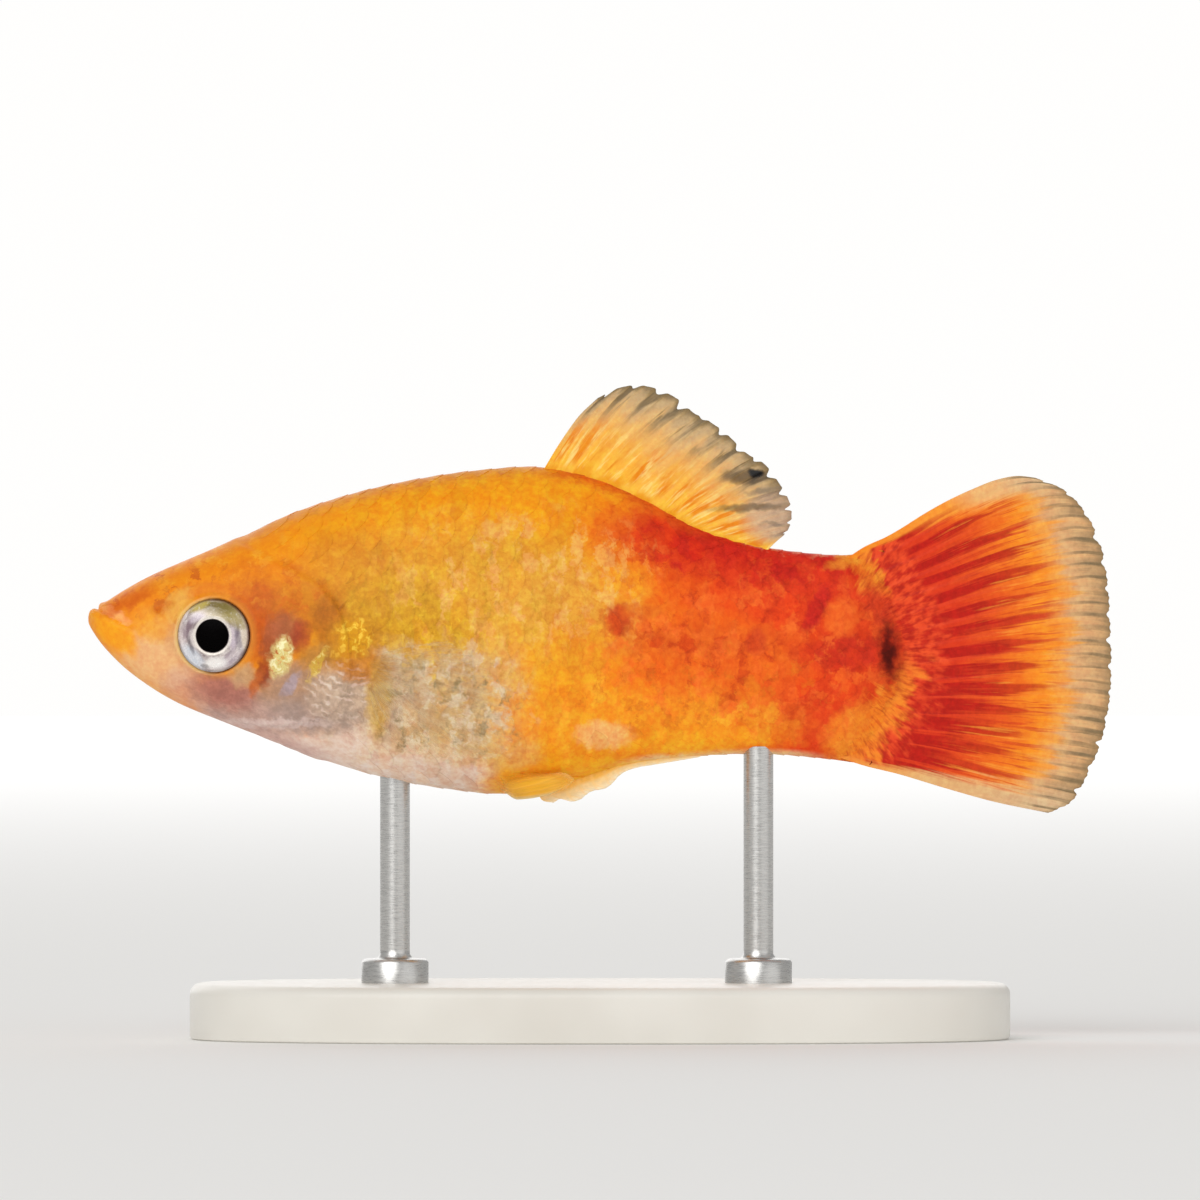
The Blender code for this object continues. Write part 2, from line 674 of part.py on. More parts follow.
def main():
    clear_scene()
    model = bpy.data.objects.new("sunset_platy", None)
    bpy.context.scene.collection.objects.link(model)
    jaw, head, torso, stalk, beyond = build_body()
    bpy.data.objects.remove(beyond)
    pieces = [(jaw, "orange_skin"), (finish_head(head), "orange_skin"), (torso, "pale_skin")]
    pieces.append((stalk, "red_skin"))
    pieces += [(cover, "pale_skin") for cover in build_gill_covers()]
    pieces += [(eye, "eye_silver") for eye in build_eyes()]
    pieces.append((build_dorsal_fin(), "fin_membrane"))
    pieces.append((build_caudal_fin(), "tail_membrane"))
    pieces.append((build_anal_fin(), "fin_membrane"))
    for side_name, side in (("_left", -1), ("_right", 1)):
        pieces.append((build_pectoral_fin(side_name, side), "fin_membrane"))
        pieces.append((build_pelvic_fin(side_name, side), "fin_membrane"))
    pieces.append((build_base(), "stand_plate"))
    pieces += [(build_rod(name, x), "stand_steel") for name, x in ROD_X.items()]
    for obj, finish in pieces:
        dress(obj, finish, model)


main()
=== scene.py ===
"""The looks of a life-size female sunset platy on its display stand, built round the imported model.

The fish faces -X and swims level, its mid plane is Y = 0 and the stand rests on Z = 0. Constants and
functions work in millimetres, and a mesh is scaled to metres as it is made.
"""

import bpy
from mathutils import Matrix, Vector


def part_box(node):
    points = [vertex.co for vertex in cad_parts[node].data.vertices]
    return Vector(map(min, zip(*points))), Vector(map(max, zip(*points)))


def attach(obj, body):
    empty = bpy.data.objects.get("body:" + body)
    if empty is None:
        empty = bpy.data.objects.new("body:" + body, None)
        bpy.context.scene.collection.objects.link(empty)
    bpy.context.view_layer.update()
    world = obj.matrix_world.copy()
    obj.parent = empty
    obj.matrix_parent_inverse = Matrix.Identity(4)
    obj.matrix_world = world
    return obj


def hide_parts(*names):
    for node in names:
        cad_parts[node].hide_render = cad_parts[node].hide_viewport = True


bl_info = {
    "name": "Sunset Platy Model",
    "version": (1, 0, 0),
    "blender": (4, 5, 0),
    "location": "View3D > Sidebar > Platy",
    "description": "Builds the skin, scales, eyes, fins, stand and studio of a life-size platy",
    "category": "Add Mesh",
}

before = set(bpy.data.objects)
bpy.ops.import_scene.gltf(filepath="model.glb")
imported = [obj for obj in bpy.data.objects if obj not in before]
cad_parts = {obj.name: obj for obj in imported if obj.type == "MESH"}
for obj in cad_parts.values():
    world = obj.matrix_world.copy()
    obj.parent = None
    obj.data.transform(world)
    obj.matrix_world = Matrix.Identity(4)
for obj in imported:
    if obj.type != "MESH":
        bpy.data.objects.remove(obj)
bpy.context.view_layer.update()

import math

import bmesh
import bpy
import numpy as np
from bpy.props import FloatProperty, IntProperty, PointerProperty
from mathutils import Vector

MM = 0.001

# Body, as (x, z) or (x, share) knots from the snout to the root of the tail fin
SNOUT = (-27.45, 22.46)
BACK = (
    SNOUT, (-27.2, 22.95), (-26.5, 23.45), (-24.2, 24.8), (-20.2, 26.55), (-16.1, 28.45),
    (-12.9, 29.45), (-9.7, 30.15), (-6.5, 30.6), (-3.0, 30.75), (0.0, 30.1), (2.7, 28.9),
    (5.3, 27.5), (8.0, 26.65), (10.7, 26.2), (13.1, 26.05), (15.3, 26.25), (19.0, 25.6),
)
BELLY = (
    SNOUT, (-27.2, 21.85), (-26.5, 20.9), (-25.0, 19.5), (-22.6, 18.0), (-20.2, 17.0),
    (-17.7, 16.0), (-14.5, 14.75), (-10.8, 13.75), (-8.1, 13.3), (-5.4, 13.05), (-3.2, 13.25),
    (-1.0, 13.9), (1.7, 14.7), (4.3, 15.0), (9.6, 15.15), (12.3, 14.9), (14.5, 14.65), (19.0, 15.0),
)
HALF_WIDTH = (
    (SNOUT[0], 0.0), (-26.9, 1.4), (-25.8, 2.05), (-24.2, 2.65), (-22.6, 3.1), (-20.8, 3.45),
    (-18.2, 3.95), (-13.7, 4.45), (-9.0, 4.6), (-4.4, 4.35), (0.0, 3.6), (4.3, 2.9),
    (8.0, 2.35), (11.8, 1.85), (14.5, 1.45), (19.0, 0.85),
)
WIDEST_LEVEL = ((SNOUT[0], 0.5), (-20.8, 0.5), (-8.0, 0.42), (0.0, 0.48), (19.0, 0.5))
BACK_POWER = ((SNOUT[0], 2.5), (-20.8, 2.4), (-14.0, 2.05), (-4.0, 1.85), (19.0, 2.0))
BELLY_POWER = ((SNOUT[0], 2.2), (-14.0, 2.1), (-6.0, 2.2), (2.0, 1.9), (19.0, 2.0))
TAIL_ROOT = ((14.7, 26.75), (17.4, 20.6), (14.0, 14.15))
TAIL_BEND_X = 6.0  # from here on the rings of the skin bend to the arc of the tail root
TAIL_END_X = 17.4
TAIL_ROUND = 3.4  # the length over which the flesh thins down to the tail fin
TAIL_END_SHARE = 0.06

# Rings of the skin: (from, to, count), finest on the head
SNOUT_RINGS = (-27.446, -26.4, 26)
HEAD_RINGS = (-26.4, -12.6, 214)
BODY_RINGS = (-12.6, TAIL_END_X, 116)
AROUND = 220
SECTION_STEPS = 361
BEND_ROUNDS = 4  # how often the bend to the tail's arc is refined

# Head, with heights and depths over the plain body form
MOUTH_FRONT = (-26.85, 23.05)
MOUTH_CORNER = (-24.15, 21.4)
MOUTH_FOLD = (MOUTH_CORNER, (-24.0, 20.7), (-24.1, 20.1))
LIPS = ((0.09, 0.27, 0.2), (0.12, -0.34, 0.28))  # height, place off the slit and width of each
SLIT_DEPTH, SLIT_WIDTH = 0.15, 0.09
SOCKET_DEPTH = 0.9
NOSTRIL_DEPTH = 0.18
NOSTRILS = ((-22.95, 23.3, 0.26), (-23.65, 22.98, 0.17))
EYE = (-20.67, 21.63)

# The gill cover, as (x, z) points, and the line where the scales begin, as (z, x) points
GILL_FREE_EDGE = (
    (-15.2, 24.4), (-14.3, 23.6), (-13.5, 21.6), (-13.35, 19.6), (-13.75, 18.2), (-14.6, 17.35),
    (-15.9, 16.95), (-17.4, 16.8), (-19.0, 16.95), (-20.6, 17.35),
)
CHEEK_EDGE = ((-17.9, 23.4), (-18.2, 21.4), (-18.0, 19.5), (-17.0, 18.5), (-15.4, 18.2))
SCALE_LINE = (
    (13.0, -15.6), (16.0, -14.7), (18.0, -13.4), (20.5, -13.1), (22.5, -13.6), (24.2, -14.8),
    (25.4, -17.0), (26.6, -19.4), (31.0, -19.6),
)


def rgb(code):
    """A colour written as six hexadecimal digits, as linear red, green, blue."""
    parts = [int(code[i:i + 2], 16) / 255 for i in (0, 2, 4)]
    return tuple(c / 12.92 if c <= 0.04045 else ((c + 0.055) / 1.055) ** 2.4 for c in parts)


# Ground colour along the body, as (x, colour)
GROUND = (
    (-27.5, "EE921A"), (-23.0, "EC901C"), (-18.0, "E88C16"), (-12.0, "E89A18"), (-6.0, "E69E1E"),
    (-1.5, "EE981C"), (1.0, "F28418"), (3.5, "EE6616"), (6.5, "E84E18"), (10.5, "E04018"),
    (14.0, "DE4418"), (17.5, "D83E18"),
)

BROAD_PATCH = 1.4  # a patch with larger half sizes than this has a more broken rim

# Patches of colour on each flank, from the first laid down to the last:
# colour, centre (x, z), half sizes, turn in degrees, softness, strength
PATCHES = {
    "brow": ("EE8A12", (-19.0, 25.4), (6.0, 1.2), 24, 0.6, 0.7),
    "nape": ("F59E14", (-8.5, 28.0), (7.5, 1.7), 8, 0.6, 0.8),
    "orange_shoulder": ("DC8216", (-13.6, 25.4), (2.4, 1.6), 0, 0.6, 0.75),
    "ochre_flank": ("E0A230", (-6.5, 23.4), (7.0, 3.6), -8, 0.6, 0.8),
    "olive_flank": ("CF9A22", (-10.6, 22.4), (3.0, 1.7), -10, 0.6, 0.75),
    "tan_middle": ("E8A848", (-2.6, 22.4), (3.4, 2.4), 0, 0.7, 0.5),
    "clear_belly": ("CCAA7A", (-8.9, 17.9), (4.2, 2.8), -12, 0.4, 0.95),
    "clear_breast": ("C6AA92", (-12.6, 17.8), (2.6, 2.2), 0, 0.5, 0.8),
    "peach_edge": ("E6AA62", (-4.6, 17.6), (1.2, 2.9), 8, 0.6, 0.85),
    "orange_middle": ("F09C1C", (-1.3, 19.2), (2.6, 2.6), 0, 0.5, 0.75),
    "ochre_low": ("D8962A", (-2.2, 17.6), (1.0, 0.7), 0, 0.6, 0.6),
    "lower_rear": ("F89C22", (2.4, 17.0), (6.6, 1.9), 0, 0.5, 0.92),
    "middle_rear": ("EE6E1C", (5.8, 20.4), (4.6, 1.9), 0, 0.6, 0.7),
    "upper_rear": ("D83418", (7.6, 26.0), (7.0, 1.6), -12, 0.5, 0.9),
    "gold_lobe": ("F39C26", (1.2, 24.2), (1.2, 1.1), 0, 0.5, 0.7),
    "rust_band": ("D85A1E", (5.2, 21.4), (4.0, 0.7), 2, 0.6, 0.5),
    "scarlet_shade": ("C42C1A", (13.2, 20.7), (2.3, 0.8), 2, 0.6, 0.85),
    "foot_of_tail": ("F4922A", (13.8, 16.4), (1.7, 1.2), 40, 0.5, 0.8),
    "cheek": ("DAA878", (-22.7, 20.6), (1.5, 1.9), -10, 0.6, 0.85),
    "behind_eye": ("C4581E", (-18.1, 22.4), (1.35, 1.9), 8, 0.6, 0.9),
    "amber_cover": ("CC7A1E", (-15.4, 23.1), (1.8, 1.1), 0, 0.6, 0.8),
}

BLOT_SEED_STEP = 3.7  # from one blot's noise to the next

# Cloudy blots inside soft regions: colour, noise scale (x, z), noise from and to,
# centre, half sizes, strength
BLOTS = {
    "peach_glints": ("EFB262", (1.35, 0.75), 0.5, 0.64, (-4.2, 24.5), (6.4, 3.4), 0.7),
    "ochre_streaks": ("C48C1E", (1.5, 0.7), 0.52, 0.66, (-8.5, 22.6), (6.0, 3.8), 0.5),
    "gold_flecks": ("EFC034", (1.7, 1.1), 0.55, 0.66, (-9.0, 21.4), (5.0, 3.0), 0.5),
    "belly_pearls": ("E0CAAC", (1.2, 0.95), 0.5, 0.62, (-9.4, 17.8), (4.8, 3.0), 0.8),
    "belly_marks": ("8A7A54", (1.6, 1.2), 0.5, 0.7, (-8.9, 17.7), (4.2, 2.6), 0.85),
    "rear_embers": ("C23212", (0.9, 0.75), 0.51, 0.64, (8.6, 22.2), (8.0, 4.4), 0.65),
    "rear_flames": ("F8722A", (0.8, 0.7), 0.5, 0.62, (7.6, 20.6), (8.0, 4.4), 0.55),
    "low_gold_blots": ("FCB030", (0.9, 0.9), 0.52, 0.64, (2.6, 17.2), (6.5, 2.2), 0.65),
    "low_rust_blots": ("D8701A", (1.3, 1.2), 0.54, 0.66, (5.4, 18.2), (8.0, 2.4), 0.5),
    "back_red": ("C4221A", (0.8, 0.9), 0.46, 0.6, (8.6, 26.2), (7.0, 1.6), 0.75),
    "head_rust": ("CC5E1A", (1.5, 1.8), 0.53, 0.65, (-23.0, 23.8), (4.5, 1.5), 0.75),
    "brow_rust": ("D05C1A", (1.2, 1.6), 0.42, 0.64, (-17.7, 23.6), (2.6, 1.8), 0.55),
    "head_gold": ("F2AC34", (1.1, 1.3), 0.52, 0.64, (-20.6, 25.5), (6.0, 1.8), 0.4),
}

# Marks with a place of their own, laid over the blots, in the same form as the patches
MARKS = {
    "vent_band": ("F8AC26", (-2.0, 14.1), (3.7, 0.75), 9, 0.5, 0.97),
    "vent_patch": ("F6B870", (0.2, 16.3), (1.3, 0.65), 0, 0.5, 0.9),
    "low_gold": ("FBAA26", (5.0, 15.95), (3.0, 0.6), 2, 0.5, 0.75),
    "rust_spot": ("C43E1A", (1.05, 22.5), (0.62, 0.78), 0, 0.4, 0.9),
    "rust_tail": ("DC641F", (2.2, 22.9), (0.9, 0.4), 0, 0.5, 0.7),
    "red_fleck": ("C4341A", (8.3, 21.3), (0.55, 0.6), 0, 0.5, 0.7),
    "scarlet_bar": ("C0201C", (11.6, 23.1), (0.4, 1.25), -24, 0.5, 0.85),
    "round_patch": ("F06A26", (12.95, 22.6), (0.85, 0.95), 0, 0.4, 0.8),
    "bar_shade": ("C83A1C", (14.85, 23.0), (0.35, 1.5), 16, 0.6, 0.65),
    "tail_crown": ("F09630", (14.2, 26.1), (1.8, 0.4), 22, 0.5, 0.85),
    "cheek_peach": ("EBB47C", (-24.1, 20.3), (1.7, 1.0), -35, 0.5, 0.95),
    "snout_side": ("EFA234", (-23.9, 22.2), (0.9, 0.7), -20, 0.6, 0.7),
    "jaw_tip": ("F4A01E", (-26.1, 21.9), (1.6, 0.75), -42, 0.35, 0.95),
    "upper_lip": ("FAB26C", (-26.0, 22.8), (0.85, 0.22), -27, 0.5, 0.8),
    "snout_freckle": ("D65E18", (-25.2, 23.5), (1.3, 0.36), 28, 0.6, 0.75),
    "nostril_freckle": ("CF701E", (-23.4, 23.2), (0.6, 0.4), 30, 0.5, 0.5),
    # painted shade in an arc just above the eye
    "shade_over_eye": ("DC7A20", (-20.4, 24.0), (1.5, 0.35), 0, 0.8, 0.5),
    "lid_gold": ("E8AE4C", (-22.5, 23.2), (0.6, 0.8), -20, 0.6, 0.8),
    "rose_low": ("B4968E", (-18.4, 17.6), (3.0, 0.9), -12, 0.5, 0.85),
    "rose_side": ("D4A28E", (-22.2, 18.9), (1.0, 0.8), -30, 0.7, 0.6),
    "rose_cheek": ("AC6E60", (-20.1, 18.7), (1.4, 0.75), -16, 0.7, 0.95),
    "cheek_beige": ("C09A72", (-19.1, 19.5), (0.6, 0.55), 0, 0.6, 0.85),
    "cover_beige": ("AC8A72", (-16.6, 19.0), (1.5, 1.0), 20, 0.6, 0.9),
    "cover_grey": ("A89186", (-15.2, 17.4), (2.1, 0.9), -4, 0.5, 0.85),
    "cover_dull": ("A86040", (-16.9, 21.8), (0.85, 0.95), 0, 0.6, 0.8),
    "cover_top": ("B2641C", (-14.5, 22.4), (0.75, 1.0), 0, 0.7, 0.8),
    "cover_ochre": ("B07A3A", (-14.7, 20.5), (1.1, 0.7), 0, 0.6, 0.85),
    "red_cover": ("A43826", (-15.98, 21.65), (0.36, 0.6), -8, 0.9, 0.75),
    "rust_streak_high": ("A2502C", (-17.75, 20.95), (0.3, 0.55), 0, 0.6, 0.8),
    "rust_streak_middle": ("96381E", (-17.95, 19.65), (0.3, 0.6), -4, 0.6, 0.85),
    "rust_streak_low": ("C0602C", (-18.4, 19.1), (0.24, 0.6), -24, 0.6, 0.85),
    "lilac": ("AC9CA6", (-16.5, 19.05), (0.6, 0.22), 52, 0.8, 0.75),
    "cover_cloud": ("BFA48E", (-14.1, 18.5), (1.3, 1.2), 0, 0.5, 0.85),
    "cover_rim": ("DAC2BA", (-17.6, 16.95), (2.2, 0.2), 0, 0.8, 0.7),
    "gold_ground": ("C4801E", (-13.1, 21.6), (1.3, 1.1), 0, 0.5, 0.85),
    "fin_root_blotch": ("C67A1E", (-12.6, 19.95), (1.3, 0.75), -10, 0.6, 0.9),
    "yellow_run": ("CBA04C", (-11.8, 18.3), (0.55, 1.7), -4, 0.6, 0.8),
}

# Patches that glint like foil, laid over the rest, each with the colour of its sparks
GLINTS = {
    "pale_gold": ("E2D286", (-17.05, 20.5), (0.5, 0.92), -15, 0.5, 0.95, "FFF9C8"),
    "gold_streak": ("D6AE44", (-15.1, 20.05), (0.2, 0.85), -30, 0.6, 0.8, "F6E28A"),
    "gold_leaf": ("DA9C1C", (-13.1, 21.6), (0.85, 0.85), 10, 0.6, 0.75, "FBD850"),
    "gold_drop": ("D4921E", (-13.9, 20.7), (0.5, 0.3), -30, 0.6, 0.5, "F0C048"),
}

# The dark spot at the root of the tail fin, in the same form as the patches
TAIL_SPOT = {
    "spot_halo": ("A22E14", (15.55, 20.75), (0.6, 1.8), 3, 0.6, 0.65),
    "spot": ("7A1A08", (15.5, 20.75), (0.38, 1.2), 3, 0.6, 0.9),
    "spot_core": ("4C0A02", (15.48, 20.75), (0.25, 0.9), 3, 0.6, 0.9),
}
POLAR_CENTRE = (11.6, 20.6)  # the fin rays and the small scales before them fan out from here
ARC_RANGE = (10.0, 20.0)  # the least and the greatest x that the tail arc's curve can give

# Colours that run along the body at a level over the belly or under the back: colour, level,
# where it fades from and to, and begins and ends along the body, strength
BANDS = (
    ("E2C8B8", "up", 2.6, 1.0, -20.5, -15.5, -6.8, -4.8, 0.92),
    ("EAD4C6", "up_near", 1.3, 0.3, -19.5, -15.5, -10.0, -6.0, 0.7),
    ("F4D09C", "up_plain", 0.5, 0.15, -2.0, 1.0, 10.0, 13.0, 0.8),
    ("F4A43A", "up_plain", 0.45, 0.15, -27.0, -25.5, -24.5, -22.5, 0.7),
    ("C8A298", "up_plain", 1.0, 0.3, -22.5, -20.5, -16.0, -13.5, 0.85),
    ("D8861C", "down_near", 0.9, 0.15, -22.0, -18.0, -3.0, 0.0, 0.6),
    ("DA5C1C", "down_near", 0.9, 0.15, -4.0, -1.2, 5.0, 8.0, 0.85),
    ("CA261A", "down", 1.9, 0.4, 3.0, 6.0, 13.0, 15.0, 0.85),
    ("D98A6A", "down_near", 0.3, 0.12, 7.0, 8.5, 13.0, 15.0, 0.6),
)
BAND_HEIGHTS = (10.0, 34.0)  # the least and the greatest level that the body's curves can give

# Rings on the skin round the eye: colour, whether at the rear, where each starts and ends, strength
EYE_RINGS = (
    # the gold line at the front of the eye is a painted highlight
    ("E8A040", True, 2.5, 2.1, 0.4), ("F0D088", False, 2.18, 2.0, 0.6), ("7E4622", True, 2.1, 1.98, 0.7),
)
COVER_CENTRE = (-13.0, 0.0, 21.6)  # the strokes on the rear of the gill cover curve round this point

# Light and dark grain: noise scale, noise from and to, share
GRAIN = ((1.3, 0.38, 0.62, 0.5), (3.6, 0.36, 0.64, 0.5), (7.5, 0.38, 0.62, 0.22))

# What the shaders of soft pieces share, the scatter's radii and depth among it
FLESH_FINISH = {
    "Specular IOR Level": 0.09, "Subsurface Weight": 0.05, "Subsurface Radius": (1.0, 0.45, 0.25),
    "Subsurface Scale": 0.6 * MM, "Coat Weight": 0.02, "Coat Roughness": 0.2,
}
FIN_FINISH = {
    "Roughness": 0.4, "Specular IOR Level": 0.09, "Subsurface Weight": 0.04,
    "Subsurface Radius": (1.0, 0.5, 0.3), "Subsurface Scale": 0.4 * MM, "Coat Weight": 0.02,
    "Coat Roughness": 0.25,
}

# Scales
SCALE_GRID = (6, 9)  # points along and across one scale
SCALE_ROOT_SINK = 0.05  # how far a scale's root lies under the skin
SCALE_SHARP = math.radians(50)
SCALE_SIZES = (0.94, 1.06)  # the least and the greatest share of its length that a scale has
SCALE_REACH = 1.07  # the last scales' roots stand this many lengths before the tail's end
TONE_SEED_STEP = 7.0
BAKE_PATCH = 0.003  # the room that one scale takes up on the baked map
BAKE_HEIGHT = 0.94  # the share of the baked map's height that the scales take up

# Eye, stand and stage
EYE_STEPS = 96
EYE_BOWL = 1.55  # depth of its rear half
EYE_BACK = -1.6  # level of the point that closes it
EYE_SLOPE_STEP = 0.5  # the flank's slope is taken over this distance to each side
PLATE_STEPS = 192
PLATE_POWER = 2.6  # 2 is an ellipse, more is squarer
PLATE_FOOT = 0.25  # how far its foot draws in
PLATE_SHARP = math.radians(30)
ROD_STEPS = 48
ROD_SHARP = math.radians(35)
ROD_IN_BELLY = 0.5  # how far a rod runs into the flesh
COLLAR_HEIGHT = 1.0
FLOOR_STEPS = 96
FLOOR_RADIUS = 2500.0
STUDIO_WHITE = (1.0, 0.995, 0.985, 1.0)

# Lights: name, the way each shines, its width in degrees, and the setting with its strength
LIGHTS = (
    ("key", (0.4, 1.0, -0.6), 50, "key"), ("fill", (-0.9, 0.8, -0.1), 60, "fill"),
    ("bounce", (0.0, 0.85, 0.55), 60, "bounce"), ("back", (0.2, -1.0, -0.6), 60, "rim"),
)


def smooth_through(knots, values, t):
    """The smooth cubic through the knots at every t, its slopes taken from each knot's neighbours."""
    knots = np.asarray(knots, float)
    values = np.asarray(values, float)
    shape = np.shape(t)
    t = np.ravel(np.asarray(t, float))
    steps = np.diff(knots)[:, None]
    rises = np.diff(values, axis=0) / steps
    inner = (steps[1:] * rises[:-1] + steps[:-1] * rises[1:]) / (steps[1:] + steps[:-1])
    slopes = np.vstack([rises[:1], inner, rises[-1:]])
    i = np.clip(np.searchsorted(knots, t, "right") - 1, 0, len(steps) - 1)
    step = steps[i]
    u = (t[:, None] - knots[i][:, None]) / step
    start = (2 * u**3 - 3 * u**2 + 1) * values[i] + (u**3 - 2 * u**2 + u) * step * slopes[i]
    end = (3 * u**2 - 2 * u**3) * values[i + 1] + (u**3 - u**2) * step * slopes[i + 1]
    return (start + end).reshape(*shape, values.shape[1])


def path(points):
    """The smooth line through the points, as a function of its share of the length, 0 to 1."""
    points = np.asarray(points, float)
    lengths = np.linalg.norm(np.diff(points, axis=0), axis=1)
    knots = np.concatenate([[0.0], np.cumsum(lengths)]) / lengths.sum()
    return lambda t: smooth_through(knots, points, t)


def smoothstep(low, high, value):
    """An eased run from 0 at low to 1 at high."""
    t = np.clip((np.asarray(value, float) - low) / (high - low), 0.0, 1.0)
    return t * t * (3 - 2 * t)


def hump(distance, width):
    """1 at no distance, and a soft fall to 0 round it."""
    return np.exp(-(np.asarray(distance, float) / width) ** 2)


def along_body(knots, x):
    """A body measure at every x, drawn against the root of the way from the snout."""
    roots = [math.sqrt(max(knot[0] - SNOUT[0], 0.0)) for knot in knots]
    way = np.sqrt(np.maximum(np.asarray(x, float) - SNOUT[0], 0.0))
    return smooth_through(roots, [[knot[1]] for knot in knots], way)[..., 0]


def section(x):
    """Half width, levels of back, flank and belly, and roundness above and below, at every x."""
    half, back, belly = (along_body(knots, x) for knots in (HALF_WIDTH, BACK, BELLY))
    flank = belly + (back - belly) * along_body(WIDEST_LEVEL, x)
    return half, back, flank, belly, along_body(BACK_POWER, x), along_body(BELLY_POWER, x)


def oval(x, turn):
    """The point of the cross-section at x and a turn from belly (-pi/2) to back (pi/2), as (y, z)."""
    half, back, flank, belly, over, under = section(x)
    rise = np.sin(turn)
    power = np.where(rise > 0, over, under)
    height = np.where(rise > 0, back - flank, flank - belly)
    y = half * np.abs(np.cos(turn)) ** (2 / power)
    return y, flank + height * np.sign(rise) * np.abs(rise) ** (2 / power)


def side_of_body(x, z):
    """How far the skin is from the mid plane at every (x, z), 0 outside the body."""
    half, back, flank, belly, over, under = section(x)
    above = z > flank
    share = np.where(above, (z - flank) / (back - flank), (flank - z) / (flank - belly))
    power = np.where(above, over, under)
    return half * np.maximum(1 - np.abs(share) ** power, 0.0) ** (1 / power)


def under_body(x, y):
    """The level of the body's underside at every (x, y)."""
    half, _, flank, belly, _, under = section(x)
    share = np.minimum(np.abs(y) / half, 1.0)
    return flank - (flank - belly) * (1 - share**under) ** (1 / under)


def tail_arc(t):
    """The arc where the scales end and the tail fin begins, from top to foot."""
    top, rear, foot = map(np.array, TAIL_ROOT)
    pull = 2 * rear - (top + foot) / 2
    t = np.asarray(t, float)[..., None]
    return (1 - t) ** 2 * top + 2 * t * (1 - t) * pull + t**2 * foot


def tail_arc_x(z):
    points = tail_arc(np.linspace(1.0, 0.0, 60))
    return np.interp(z, points[:, 1], points[:, 0])


def distance_to_line(x, z, line):
    """Distance of every (x, z) from a line of points, signed by its side, and the share along it."""
    line = np.asarray(line, float)
    runs = np.diff(line, axis=0)
    lengths = np.linalg.norm(runs, axis=1)
    starts = np.concatenate([[0.0], np.cumsum(lengths)])
    nearest = np.full(np.shape(x), np.inf)
    signed = np.zeros(np.shape(x))
    share = np.zeros(np.shape(x))
    for start, run, length, passed in zip(line, runs, lengths, starts):
        dx, dz = x - start[0], z - start[1]
        t = np.clip((dx * run[0] + dz * run[1]) / length**2, 0.0, 1.0)
        away = np.hypot(dx - t * run[0], dz - t * run[1])
        closer = away < nearest
        nearest = np.where(closer, away, nearest)
        signed = np.where(closer, away * np.sign(run[0] * dz - run[1] * dx), signed)
        share = np.where(closer, (passed + t * length) / starts[-1], share)
    return signed, share


def mesh_object(name, points, faces, material=None):
    """A smooth mesh object at the origin, from points in millimetres."""
    mesh = bpy.data.meshes.new(name)
    mesh.from_pydata((np.asarray(points, float) * MM).tolist(), [], faces)
    mesh.shade_smooth()
    obj = bpy.data.objects.new(name, mesh)
    bpy.context.scene.collection.objects.link(obj)
    if material:
        mesh.materials.append(material)
    return obj


def face_outward(obj, sharp=None):
    """Turns every face of a closed piece outwards, and keeps edges crisp past an angle."""
    bm = bmesh.new()
    bm.from_mesh(obj.data)
    bmesh.ops.recalc_face_normals(bm, faces=bm.faces)
    bm.to_mesh(obj.data)
    bm.free()
    obj.data.shade_smooth()
    if sharp:
        obj.data.set_sharp_from_angle(angle=sharp)


def round_steps(count):
    """The cosine and sine of equal steps round a circle."""
    turns = [2 * math.pi * k / count for k in range(count)]
    return [(math.cos(turn), math.sin(turn)) for turn in turns]


def set_uv(obj, name, corners):
    """A UV map with a value for every face corner."""
    layer = obj.data.uv_layers.new(name=name)
    layer.uv.foreach_set("vector", np.asarray(corners, np.float32).ravel())


def set_attribute(obj, name, values):
    attribute = obj.data.attributes.new(name, "FLOAT", "POINT")
    attribute.data.foreach_set("value", np.asarray(values, np.float32).ravel())


def corner_points(obj):
    """The vertex of every face corner."""
    found = np.zeros(len(obj.data.loops), np.int32)
    obj.data.loops.foreach_get("vertex_index", found)
    return found


def finish_piece(obj, slot, *nodes):
    """Hands a finished piece to the frame, in the place of the nodes that it stands for."""
    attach(obj, "root")
    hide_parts(*nodes)
    return obj


